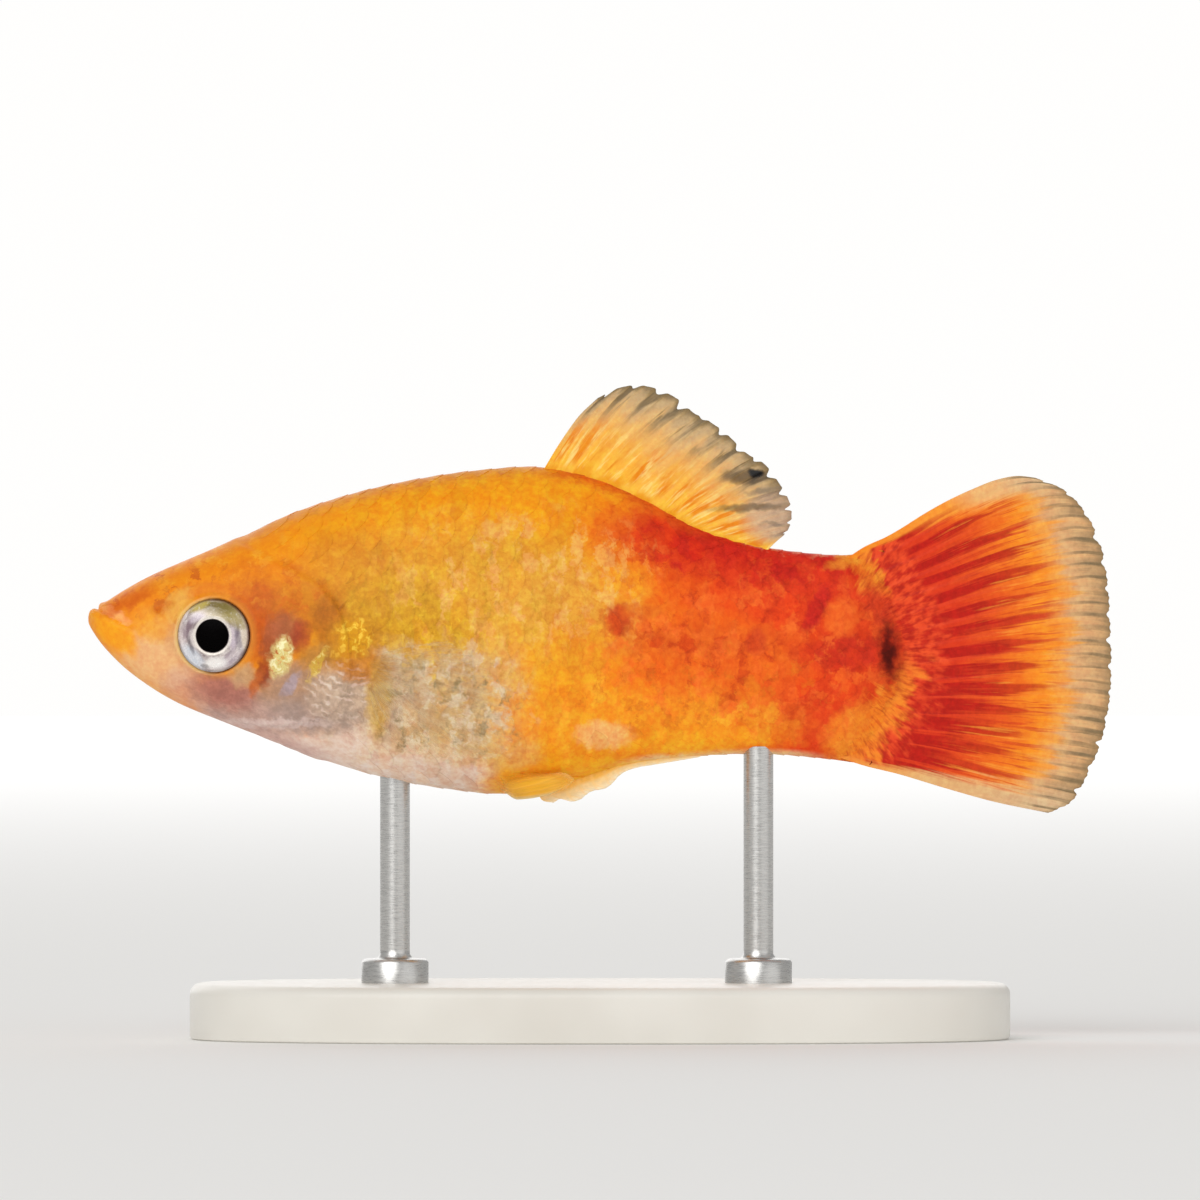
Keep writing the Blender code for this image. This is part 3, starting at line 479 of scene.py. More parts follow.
class Nodes:
    """Adds nodes to one tree. An input may be a value, a colour's code or another node's output."""

    def __init__(self, tree):
        self.tree = tree

    def feed(self, sockets, values):
        """Links or sets sockets, each by its name or number."""
        for key, value in values.items():
            if isinstance(value, bpy.types.NodeSocket):
                self.tree.links.new(value, sockets[key])
            elif isinstance(value, str) and sockets[key].type == "RGBA":
                sockets[key].default_value = (*rgb(value), 1.0)
            else:
                sockets[key].default_value = value

    def add(self, kind, inputs=None, **settings):
        node = self.tree.nodes.new(kind)
        for name, value in settings.items():
            setattr(node, name, value)
        self.feed(node.inputs, inputs or {})
        return node

    def math(self, operation, *values, clamp=False):
        inputs = dict(enumerate(values))
        return self.add("ShaderNodeMath", inputs, operation=operation, use_clamp=clamp).outputs[0]

    def times(self, product, *factors):
        for factor in factors:
            product = self.math("MULTIPLY", product, factor)
        return product

    def plus(self, first, second, clamp=False):
        return self.math("ADD", first, second, clamp=clamp)

    def minus(self, first, second):
        return self.math("SUBTRACT", first, second)

    def vector(self, operation, *values):
        node = self.add("ShaderNodeVectorMath", dict(enumerate(values)), operation=operation)
        return node.outputs["Value" if operation in ("LENGTH", "DISTANCE", "DOT_PRODUCT") else "Vector"]

    def scaled(self, vector, factor):
        inputs = {0: vector, "Scale": factor}
        return self.add("ShaderNodeVectorMath", inputs, operation="SCALE").outputs[0]

    def spread(self, value, low, high, start=0.0, end=1.0, kind="SMOOTHSTEP"):
        """Maps low to high onto start to end, with an eased run that stays there beyond."""
        inputs = {0: value, 1: low, 2: high, 3: start, 4: end}
        return self.add("ShaderNodeMapRange", inputs, interpolation_type=kind, clamp=False).outputs[0]

    def mix(self, share, first, second, blend="MIX"):
        inputs = {0: share, 6: first, 7: second}
        return self.add("ShaderNodeMix", inputs, data_type="RGBA", blend_type=blend).outputs[2]

    def noise(self, vector, scale, detail=2.0, roughness=0.5, out="Fac"):
        inputs = {"Vector": vector, "Scale": scale, "Detail": detail, "Roughness": roughness}
        return self.add("ShaderNodeTexNoise", inputs).outputs[out]

    def shake(self, vector, scale, detail, roughness, reach):
        """A vector moved about by noise."""
        noise = self.noise(vector, scale, detail, roughness, out="Color")
        parts = self.add("ShaderNodeSeparateColor", {0: noise}).outputs
        moves = [self.times(self.minus(part, 0.5), reach) for part in parts]
        return self.vector("ADD", vector, self.join(*moves))

    def grey(self, level):
        return self.add("ShaderNodeCombineColor", {0: level, 1: level, 2: level}).outputs[0]

    def ramp(self, value, stops, interpolation="EASE"):
        """Colours or greys at places from 0 to 1."""
        node = self.add("ShaderNodeValToRGB", {0: value})
        node.color_ramp.interpolation = interpolation
        elements = node.color_ramp.elements
        while len(elements) < len(stops):
            elements.new(1.0)
        for element, (place, code) in zip(elements, stops):
            element.position = place
            element.color = (*rgb(code), 1.0)
        return node.outputs[0]

    def split(self, vector):
        return self.add("ShaderNodeSeparateXYZ", {0: vector}).outputs

    def join(self, x, y, z):
        return self.add("ShaderNodeCombineXYZ", {0: x, 1: y, 2: z}).outputs[0]

    def patch(self, vector, centre, half_sizes, turn, softness, strength):
        """A soft oval mask in the (x, z) plane."""
        wide, tall = half_sizes
        cos, sin = math.cos(math.radians(turn)), math.sin(math.radians(turn))
        off = self.vector("SUBTRACT", vector, (centre[0], 0.0, centre[1]))
        along = self.vector("DOT_PRODUCT", off, (cos / wide, 0.0, sin / wide))
        across = self.vector("DOT_PRODUCT", off, (-sin / tall, 0.0, cos / tall))
        reach = self.math("MULTIPLY_ADD", along, along, self.times(across, across))
        return self.spread(reach, (1 - softness) ** 2, (1 + softness) ** 2, strength, 0.0)

    def paint(self, colour, place, patches):
        """A colour with soft oval patches laid over it, from the first to the last."""
        for code, *form in patches:
            colour = self.mix(self.patch(place, *form), colour, code)
        return colour

    def curve(self, value, knots, x_range, z_range):
        """A level at every x, drawn through (x, z) knots."""
        node = self.add("ShaderNodeFloatCurve", {"Value": self.spread(value, *x_range, kind="LINEAR")})
        line = node.mapping.curves[0]
        places = [((x - x_range[0]) / (x_range[1] - x_range[0]), (z - z_range[0]) / (z_range[1] - z_range[0]))
                  for x, z in knots]
        line.points[0].location = places[0]
        line.points[1].location = places[-1]
        for place in places[1:-1]:
            line.points.new(*place)
        node.mapping.update()
        return self.spread(node.outputs[0], 0.0, 1.0, *z_range, kind="LINEAR")


def new_group(name, inputs, outputs):
    """A shader node group with named sockets, as (its nodes, its input sockets, its output node)."""
    tree = bpy.data.node_groups.new(name, "ShaderNodeTree")
    for socket, kind in inputs:
        tree.interface.new_socket(socket, in_out="INPUT", socket_type=kind)
    for socket, kind in outputs:
        tree.interface.new_socket(socket, in_out="OUTPUT", socket_type=kind)
    nodes = Nodes(tree)
    return nodes, nodes.add("NodeGroupInput").outputs, nodes.add("NodeGroupOutput")


def use_group(nodes, name, inputs):
    """A node group placed in a material or another group, as its output sockets."""
    return nodes.add("ShaderNodeGroup", inputs, node_tree=bpy.data.node_groups[name]).outputs


def new_material(name):
    """A material, as (the material, its nodes, its shader)."""
    made = bpy.data.materials.new(name)
    made.use_nodes = True
    return made, Nodes(made.node_tree), made.node_tree.nodes["Principled BSDF"]


def body_place(nodes):
    """Object coordinates in millimetres."""
    return nodes.scaled(nodes.add("ShaderNodeTexCoord").outputs["Object"], 1 / MM)


def make_tail_root_group():
    """Colours that fan out over the tail root, on the last scales and the first of the fin alike."""
    nodes, inputs, output = new_group(
        "tail_root",
        [("Place", "NodeSocketVector")],
        [("Color", "NodeSocketColor"), ("Past", "NodeSocketFloat"), ("Away", "NodeSocketFloat")],
    )
    place = inputs["Place"]
    x, _, z = nodes.split(place)
    knots = [(level, at) for at, level in tail_arc(np.linspace(1.0, 0.0, 7))]
    arc = nodes.curve(z, knots, (TAIL_ROOT[2][1], TAIL_ROOT[0][1]), ARC_RANGE)
    dx, dz = nodes.minus(x, POLAR_CENTRE[0]), nodes.minus(z, POLAR_CENTRE[1])
    turn = nodes.math("ARCTAN2", dz, dx)
    reach = nodes.math("SQRT", nodes.plus(nodes.times(dx, dx), nodes.times(dz, dz)))
    fans = [nodes.join(nodes.times(turn, per_turn), nodes.times(reach, per_reach), seed)
            for per_turn, per_reach, seed in ((11.0, 0.6, 2.0), (22.0, 1.1, 7.0))]
    broad, fine = (nodes.noise(fan, 1.0, 2.0, 0.6) for fan in fans)
    past = nodes.plus(nodes.minus(x, arc), nodes.spread(broad, 0.3, 0.7, -0.7, 0.7))
    mottle = nodes.plus(nodes.times(nodes.noise(place, 1.5, 2.0, 0.6), 0.45), nodes.times(fine, 0.55))
    colour = nodes.mix(nodes.spread(mottle, 0.4, 0.6), "BC2616", "E84E26")
    away = nodes.math("ABSOLUTE", nodes.minus(z, POLAR_CENTRE[1]))
    over = nodes.times(nodes.spread(z, 23.4, 24.6), nodes.spread(past, -1.3, -0.5, 1.0, 0.0))
    under = nodes.times(nodes.spread(z, 18.6, 21.2, 1.0, 0.0), nodes.spread(past, -0.7, 0.5, 1.0, 0.0))
    yellow = nodes.times(nodes.math("MAXIMUM", over, under), nodes.spread(fine, 0.32, 0.58, 0.4, 0.85))
    colour = nodes.mix(yellow, colour, "F3902A")
    nodes.feed(output.inputs, {"Color": colour, "Past": past, "Away": away})


def make_markings_group():
    """The fish's colours in space, for skin and scales alike, and where they glint."""
    nodes, inputs, output = new_group(
        "platy_markings",
        [("Place", "NodeSocketVector")],
        [("Color", "NodeSocketColor"), ("Glint", "NodeSocketFloat")],
    )
    place = inputs["Place"]
    broken = nodes.shake(place, 1.6, 3.0, 0.65, 1.3)
    moved = nodes.shake(broken, 0.4, 2.0, 0.6, 2.6)
    x, _, z = nodes.split(place)
    moved_x, _, moved_z = nodes.split(moved)
    near_x, _, near_z = nodes.split(broken)
    flat = nodes.join(moved_x, 0.0, moved_z)
    near = nodes.join(near_x, 0.0, near_z)
    first, last = GROUND[0][0], GROUND[-1][0]
    stops = [((at - first) / (last - first), code) for at, code in GROUND]
    colour = nodes.ramp(nodes.spread(moved_x, first, last, kind="LINEAR"), stops, "LINEAR")
    for patch in PATCHES.values():
        colour = nodes.paint(colour, flat if min(patch[2]) > BROAD_PATCH else near, [patch])
    colour = bands(nodes, colour, x, z, moved_z, near_z)
    seed = 0.0
    for code, scales, start, end, centre, half_sizes, strength in BLOTS.values():
        seed += BLOT_SEED_STEP
        stretched = nodes.join(nodes.times(near_x, scales[0]), seed, nodes.times(near_z, scales[1]))
        cloud = nodes.spread(nodes.noise(stretched, 1.0, 3.0, 0.6), start, end)
        mask = nodes.times(cloud, nodes.patch(flat, centre, half_sizes, 0, 0.4, strength))
        colour = nodes.mix(mask, colour, code)
    calm = calmly(nodes, place)
    root = use_group(nodes, "tail_root", {"Place": place})
    shift = nodes.spread(root["Away"], 0.6, 3.0, 0.7, 0.0)
    onto = nodes.spread(nodes.minus(root["Past"], shift), -2.9, -1.7)
    colour = nodes.mix(onto, colour, root["Color"])
    colour = nodes.paint(colour, calm, [*MARKS.values(), *TAIL_SPOT.values()])
    colour = cover_strokes(nodes, colour, calm)
    colour = grain(nodes, colour, place, nodes.spread(x, -16.0, -12.0, 0.6, 1.0))
    colour, glint = glints(nodes, colour, calm)
    colour = eye_rings(nodes, colour, x, z)
    nodes.feed(output.inputs, {"Color": colour, "Glint": glint})


def calmly(nodes, place):
    """The place in the (x, z) plane, gently shaken."""
    x, _, z = nodes.split(nodes.shake(place, 1.9, 2.0, 0.55, 0.75))
    return nodes.join(x, 0.0, z)


def bands(nodes, colour, x, z, moved_z, near_z):
    """Bands of colour that follow the belly or the back."""
    span = (SNOUT[0], TAIL_END_X)
    belly, back = nodes.curve(x, BELLY, span, BAND_HEIGHTS), nodes.curve(x, BACK, span, BAND_HEIGHTS)
    levels = {
        "up": nodes.minus(moved_z, belly), "up_near": nodes.minus(near_z, belly),
        "down": nodes.minus(back, moved_z), "down_near": nodes.minus(back, near_z),
        "up_plain": nodes.minus(z, belly),
    }
    for code, level, fade_from, fade_to, start, begin, cease, stop, strength in BANDS:
        mask = nodes.spread(levels[level], fade_to, fade_from, strength, 0.0)
        mask = nodes.times(mask, nodes.spread(x, start, begin))
        mask = nodes.times(mask, nodes.spread(x, cease, stop, 1.0, 0.0))
        colour = nodes.mix(mask, colour, code)
    return colour


def cover_strokes(nodes, colour, calm):
    """Pale and dark curved strokes on the rear of the gill cover."""
    away = nodes.vector("DISTANCE", calm, COVER_CENTRE)
    wave = nodes.math("SINE", nodes.times(away, 15.0))
    x, _, z = nodes.split(calm)
    breaks = nodes.noise(nodes.join(nodes.times(x, 1.6), 4.0, nodes.times(z, 1.6)), 1.0, 1.0)
    region = nodes.patch(calm, (-14.0, 18.6), (1.5, 1.3), 0, 0.5, 1.0)
    region = nodes.times(region, nodes.spread(breaks, 0.42, 0.62))
    light = nodes.times(nodes.spread(wave, 0.0, 1.0, 0.0, 0.6), region)
    dark = nodes.times(nodes.spread(wave, -1.0, 0.0, 0.45, 0.0), region)
    colour = nodes.mix(light, colour, "E6D2C2")
    return nodes.mix(dark, colour, "94806E")


def eye_rings(nodes, colour, x, z):
    """The brown line at the rear and the gold one at the front, on the skin that rings the eye; the gold line
    is a painted highlight.
    """
    away = nodes.vector("DISTANCE", nodes.join(x, 0.0, z), (EYE[0], 0.0, EYE[1]))
    rear = nodes.spread(x, EYE[0] - 0.8, EYE[0] + 0.6)
    front = nodes.minus(1.0, rear)
    for code, at_rear, start, end, strength in EYE_RINGS:
        ring = nodes.times(nodes.spread(away, end, start, strength, 0.0), rear if at_rear else front)
        colour = nodes.mix(ring, colour, code)
    return colour


def grain(nodes, colour, place, strength):
    """Light and dark at the size of a pigment cell and of a few together."""
    for scale, low, high, share in GRAIN:
        level = nodes.spread(nodes.noise(place, scale, 2.0, 0.6), low, high, 0.38, 0.6)
        colour = nodes.mix(nodes.times(strength, share), colour, nodes.grey(level), "OVERLAY")
    return colour


def glints(nodes, colour, calm):
    """Foil patches on the gill cover, broken into strokes. Gives the colour and the glint."""
    x, _, z = nodes.split(calm)
    lie = nodes.join(nodes.times(x, 2.8), 0.0, nodes.times(z, 2.2))
    strokes = nodes.noise(lie, 1.0, 3.0, 0.6)
    total = None
    for code, *form, spark_code in GLINTS.values():
        mask = nodes.patch(calm, *form)
        laid = nodes.times(mask, nodes.spread(strokes, 0.33, 0.5))
        colour = nodes.mix(laid, colour, code)
        spark = nodes.times(mask, nodes.spread(strokes, 0.5, 0.62, 0.0, 0.85))
        colour = nodes.mix(spark, colour, spark_code)
        total = laid if total is None else nodes.math("MAXIMUM", total, laid)
    return colour, total


def make_wet_group():
    """Fine unevenness of wet skin: roughness and height."""
    nodes, inputs, output = new_group(
        "wet_surface",
        [("Place", "NodeSocketVector"), ("Roughness", "NodeSocketFloat")],
        [("Roughness", "NodeSocketFloat"), ("Height", "NodeSocketFloat")],
    )
    broad = nodes.noise(inputs["Place"], 1.1, 2.0)
    fine = nodes.noise(inputs["Place"], 7.0, 3.0, 0.6)
    rough = nodes.plus(inputs["Roughness"], nodes.spread(broad, 0.3, 0.7, -0.06, 0.08))
    nodes.feed(output.inputs, {"Roughness": rough, "Height": fine})


def add_bump(nodes, shader, height, strength, distance):
    """Bumps on a shader's normal. The distance is in millimetres."""
    inputs = {"Height": height, "Strength": strength, "Distance": distance * MM}
    nodes.feed(shader.inputs, {"Normal": nodes.add("ShaderNodeBump", inputs).outputs[0]})


def skin_material():
    made, nodes, shader = new_material("platy_skin_finish")
    place = body_place(nodes)
    marks = use_group(nodes, "platy_markings", {"Place": place})
    wet = use_group(nodes, "wet_surface", {"Place": place, "Roughness": 0.42})
    nodes.feed(shader.inputs, FLESH_FINISH | {
        "Base Color": marks["Color"], "Metallic": nodes.times(marks["Glint"], 0.3),
        "Roughness": nodes.minus(wet["Roughness"], nodes.times(marks["Glint"], 0.15)),
    })
    add_bump(nodes, shader, wet["Height"], 0.3, 0.03)
    return made


def scale_material():
    made, nodes, shader = new_material("platy_scale_finish")
    place = body_place(nodes)
    marks = use_group(nodes, "platy_markings", {"Place": place})
    wet = use_group(nodes, "wet_surface", {"Place": place, "Roughness": 0.4})
    along, across, _ = nodes.split(nodes.add("ShaderNodeUVMap", uv_map="ScaleMap").outputs[0])
    tone = nodes.add("ShaderNodeAttribute", attribute_name="tone").outputs["Fac"]
    colour = marks["Color"]
    pale = nodes.times(nodes.spread(tone, 0.55, 0.95), 0.5)
    colour = nodes.mix(pale, colour, "D8B8A0", "SOFT_LIGHT")
    deep = nodes.times(nodes.spread(tone, 0.05, 0.45, 1.0, 0.0), 0.16)
    colour = nodes.mix(deep, colour, "C4762E", "MULTIPLY")
    # painted shade just behind the free edge of the scale before it, where the overlap would shade the skin
    painted_shade = nodes.spread(along, 0.44, 0.66, 1.0, 0.0)
    colour = nodes.mix(nodes.times(painted_shade, 0.18), colour, "B4703A", "MULTIPLY")
    # painted highlight across the scale near its free edge, where the raised edge would catch the light
    ridge = nodes.patch(nodes.join(along, 0.0, across), (0.78, 0.5), (0.13, 0.3), 0, 0.8, 0.4)
    colour = nodes.mix(ridge, colour, "E0C8B0", "SOFT_LIGHT")
    nodes.feed(shader.inputs, FLESH_FINISH | {
        "Base Color": colour, "Roughness": wet["Roughness"], "Metallic": nodes.times(marks["Glint"], 0.3),
    })
    rings = nodes.math("SINE", nodes.times(along, 60.0))
    add_bump(nodes, shader, nodes.plus(wet["Height"], nodes.times(rings, 0.2)), 0.2, 0.02)
    return made


def skin_stations():
    """Where each ring of the skin stands, close together round the snout and on the head."""
    near, far, count = SNOUT_RINGS
    roots = np.linspace(math.sqrt(near - SNOUT[0]), math.sqrt(far - SNOUT[0]), count)
    head = np.linspace(*HEAD_RINGS[:2], HEAD_RINGS[2])
    body = np.linspace(*BODY_RINGS[:2], BODY_RINGS[2])
    return np.concatenate([SNOUT[0] + roots**2, head[1:], body[1:]])


def bare_body():
    """The body's surface as a grid: points and normals by (ring, place around) from the belly round."""
    stations = skin_stations()
    half = AROUND // 2
    turns = np.linspace(-math.pi / 2, math.pi / 2, SECTION_STEPS)
    y, z = oval(stations[:, None], turns[None, :])
    steps = np.hypot(np.diff(y, axis=1), np.diff(z, axis=1))
    lengths = np.hstack([np.zeros((len(stations), 1)), np.cumsum(steps, axis=1)])
    table = np.array([np.interp(np.linspace(0, row[-1], half + 1), row, turns) for row in lengths])
    rise = np.hstack([table, table[:, -2:0:-1]])
    side = np.concatenate([-np.ones(half), [0.0], np.ones(half - 1)])
    side[0] = 0.0
    bend = smoothstep(TAIL_BEND_X, TAIL_END_X, stations)[:, None]
    x = np.repeat(stations[:, None], AROUND, axis=1)
    for _ in range(BEND_ROUNDS):
        y, z = oval(x, rise)
        x = stations[:, None] + bend * (tail_arc_x(z) - TAIL_END_X)
    ending = np.clip((stations - (TAIL_END_X - TAIL_ROUND)) / TAIL_ROUND, 0.0, 1.0)[:, None]
    y = y * (TAIL_END_SHARE + (1 - TAIL_END_SHARE) * (0.5 + 0.5 * np.cos(math.pi * ending)))
    points = np.stack([x, y * side, z], axis=-1)
    return stations, points, grid_normals(points)


def grid_normals(points):
    """Outward normals of a grid that closes round its second axis."""
    down = np.gradient(points, axis=0)
    across = np.roll(points, -1, axis=1) - np.roll(points, 1, axis=1)
    normals = np.cross(down, across)
    return normals / np.maximum(np.linalg.norm(normals, axis=-1, keepdims=True), 1e-12)


def mouth_relief(x, z):
    """The slit of the mouth between two lips, and the fold behind its corner."""
    front, corner = np.array(MOUTH_FRONT), np.array(MOUTH_CORNER)
    length = math.dist(front, corner)
    back = (corner - front) / length
    along = (x - front[0]) * back[0] + (z - front[1]) * back[1]
    off = (z - front[1]) * back[0] - (x - front[0]) * back[1]
    share = np.clip(along / length, 0.0, 1.0)
    fade = 1 - smoothstep(0.88, 1.15, along / length)
    lips = sum(height * hump(off - at, width) for height, at, width in LIPS)
    slit = -SLIT_DEPTH * hump(off, SLIT_WIDTH)
    fold, _ = distance_to_line(x, z, MOUTH_FOLD)
    shallow = 1 - 0.8 * smoothstep(0.3, 0.8, share)
    return fade * (lips * (1 - 0.65 * share) + slit * shallow) - 0.05 * hump(fold, 0.13)


def eye_relief(x, z, radius):
    """The socket, and the thin raised ring of skin round it."""
    away = np.hypot(x - EYE[0], z - EYE[1])
    socket = -SOCKET_DEPTH * (1 - smoothstep(radius - 0.14, radius + 0.04, away))
    return socket + 0.08 * hump(away - radius - 0.14, 0.12) - 0.05 * hump(away - radius - 0.45, 0.2)


def gill_relief(x, z):
    """The gill cover's free edge and plates."""
    edge = path(GILL_FREE_EDGE)(np.linspace(0.0, 1.0, 40))
    inside, share = distance_to_line(x, z, edge)
    inside = -inside
    fade = smoothstep(0.0, 0.06, share) * (1 - smoothstep(0.8, 1.0, share))
    plate = np.where(inside > 0, 0.07 * np.exp(-inside / 1.1), 0.0)
    gap = np.where(inside <= 0, -0.05 * np.exp(inside / 0.4), 0.0)
    cheek = path(CHEEK_EDGE)(np.linspace(0.0, 1.0, 24))
    ridge, along = distance_to_line(x, z, cheek)
    ridge_fade = smoothstep(0.0, 0.15, along) * (1 - smoothstep(0.8, 1.0, along))
    groove = -0.05 * hump(ridge, 0.14) + 0.04 * hump(ridge - 0.32, 0.24)
    folds = 0.0
    for drop in (0.55, 1.0, 1.45):
        folds = folds - 0.02 * hump(inside + drop, 0.09) * smoothstep(0.55, 0.7, share)
    return fade * (plate + gap + folds) + ridge_fade * groove


def head_relief(points, eye_radius):
    """How far the skin stands out from the plain body form, in millimetres."""
    x, z = points[..., 0], points[..., 2]
    relief = mouth_relief(x, z) + eye_relief(x, z, eye_radius) + gill_relief(x, z)
    for at_x, at_z, radius in NOSTRILS:
        away = np.hypot(x - at_x, z - at_z)
        relief = relief - NOSTRIL_DEPTH * hump(away, radius * 0.75)
        relief = relief + 0.04 * hump(away - radius * 1.25, radius * 0.5)
    return relief


def scaled_share(points):
    """1 where scales cover the skin, 0 on the bare head."""
    line = np.asarray(SCALE_LINE)
    start = np.interp(points[..., 2], line[:, 0], line[:, 1])
    return smoothstep(-0.3, 0.5, points[..., 0] - start)


def build_skin(settings):
    """One skin from the lips to the tail root, without a seam."""
    stations, points, normals = bare_body()
    covered = scaled_share(points)
    relief = head_relief(points, settings.eye.radius / MM)
    relief -= covered * settings.coat.depth / MM
    points = points + relief[..., None] * normals
    rings, around = points.shape[:2]
    i, j = np.meshgrid(np.arange(rings - 1), np.arange(around), indexing="ij")
    near, far, after = i * around, (i + 1) * around, (j + 1) % around
    faces = np.stack([near + j, far + j, far + after, near + after], -1).reshape(-1, 4).tolist()
    tip = rings * around
    last = tip - around
    faces += [(tip, k, (k + 1) % around) for k in range(around)]
    faces += [(tip + 1, last + (k + 1) % around, last + k) for k in range(around)]
    centres = [points[0].mean(axis=0), points[-1].mean(axis=0)]
    every = np.vstack([points.reshape(-1, 3), centres])
    skin = mesh_object("platy_skin", every, faces, skin_material())
    share = (stations - SNOUT[0]) / (TAIL_END_X - SNOUT[0])
    turn = np.arange(around + 1) / around
    corners = ((0, 0), (1, 0), (1, 1), (0, 1))
    quad_uv = np.stack([np.stack([share[i + a], turn[j + b]], -1) for a, b in corners], 2).reshape(-1, 2)
    tip_uv = np.stack([np.zeros(3 * around), np.stack([turn[:-1], turn[:-1], turn[1:]], 1).ravel()], -1)
    set_uv(skin, "SkinMap", np.vstack([quad_uv, tip_uv, tip_uv + (1.0, 0.0)]))
    set_attribute(skin, "covered", np.concatenate([covered.ravel(), [0.0, 1.0]]))
    replaced = ("head", "lower_jaw", "gill_cover_left", "gill_cover_right", "torso", "tail_stalk")
    return finish_piece(skin, "head_skin", *replaced)


def scale_pattern(settings):
    """One scale, 1 long by 1 wide, root at 0 and free edge at 1; heights are in metres."""
    along_count, across_count = SCALE_GRID
    rise, thickness = settings.coat.rise / MM, settings.coat.thickness / MM
    points, shape = [], []
    for i in range(along_count):
        for j in range(across_count):
            t, s = i / (along_count - 1), 2 * j / (across_count - 1) - 1
            x = t * (1 - 0.5 * s * s)
            y = 0.5 * s * (1 - 0.12 * t)
            z = -SCALE_ROOT_SINK + (rise + SCALE_ROOT_SINK) * t**1.1 * (1 - 0.25 * s * s)
            points.append((x / MM, y / MM, z))
            shape.append((x, y + 0.5))
    top = len(points)
    points.append((0.5 / MM, 0.0, -thickness - SCALE_ROOT_SINK + rise * 0.4))
    shape.append((0.5, 0.5))
    faces = []
    for i in range(along_count - 1):
        for j in range(across_count - 1):
            corner = i * across_count + j
            faces.append((corner, corner + across_count, corner + across_count + 1, corner + 1))
    rim = list(range(across_count))
    rim += [i * across_count + across_count - 1 for i in range(1, along_count)]
    rim += [(along_count - 1) * across_count + j for j in range(across_count - 2, -1, -1)]
    rim += [i * across_count for i in range(along_count - 2, 0, -1)]
    count = len(rim)
    under = list(range(top + 1, top + 1 + count))
    for k in rim:
        x, y, z = points[k]
        points.append((x, y, z - thickness))
        shape.append(shape[k])
    for k in range(count):
        after = (k + 1) % count
        faces.append((rim[k], rim[after], under[after], under[k]))
        faces.append((top, under[k], under[after]))
    pattern = mesh_object("scale_pattern", points, faces)
    face_outward(pattern, SCALE_SHARP)
    set_uv(pattern, "ScaleMap", np.asarray(shape)[corner_points(pattern)])
    return pattern


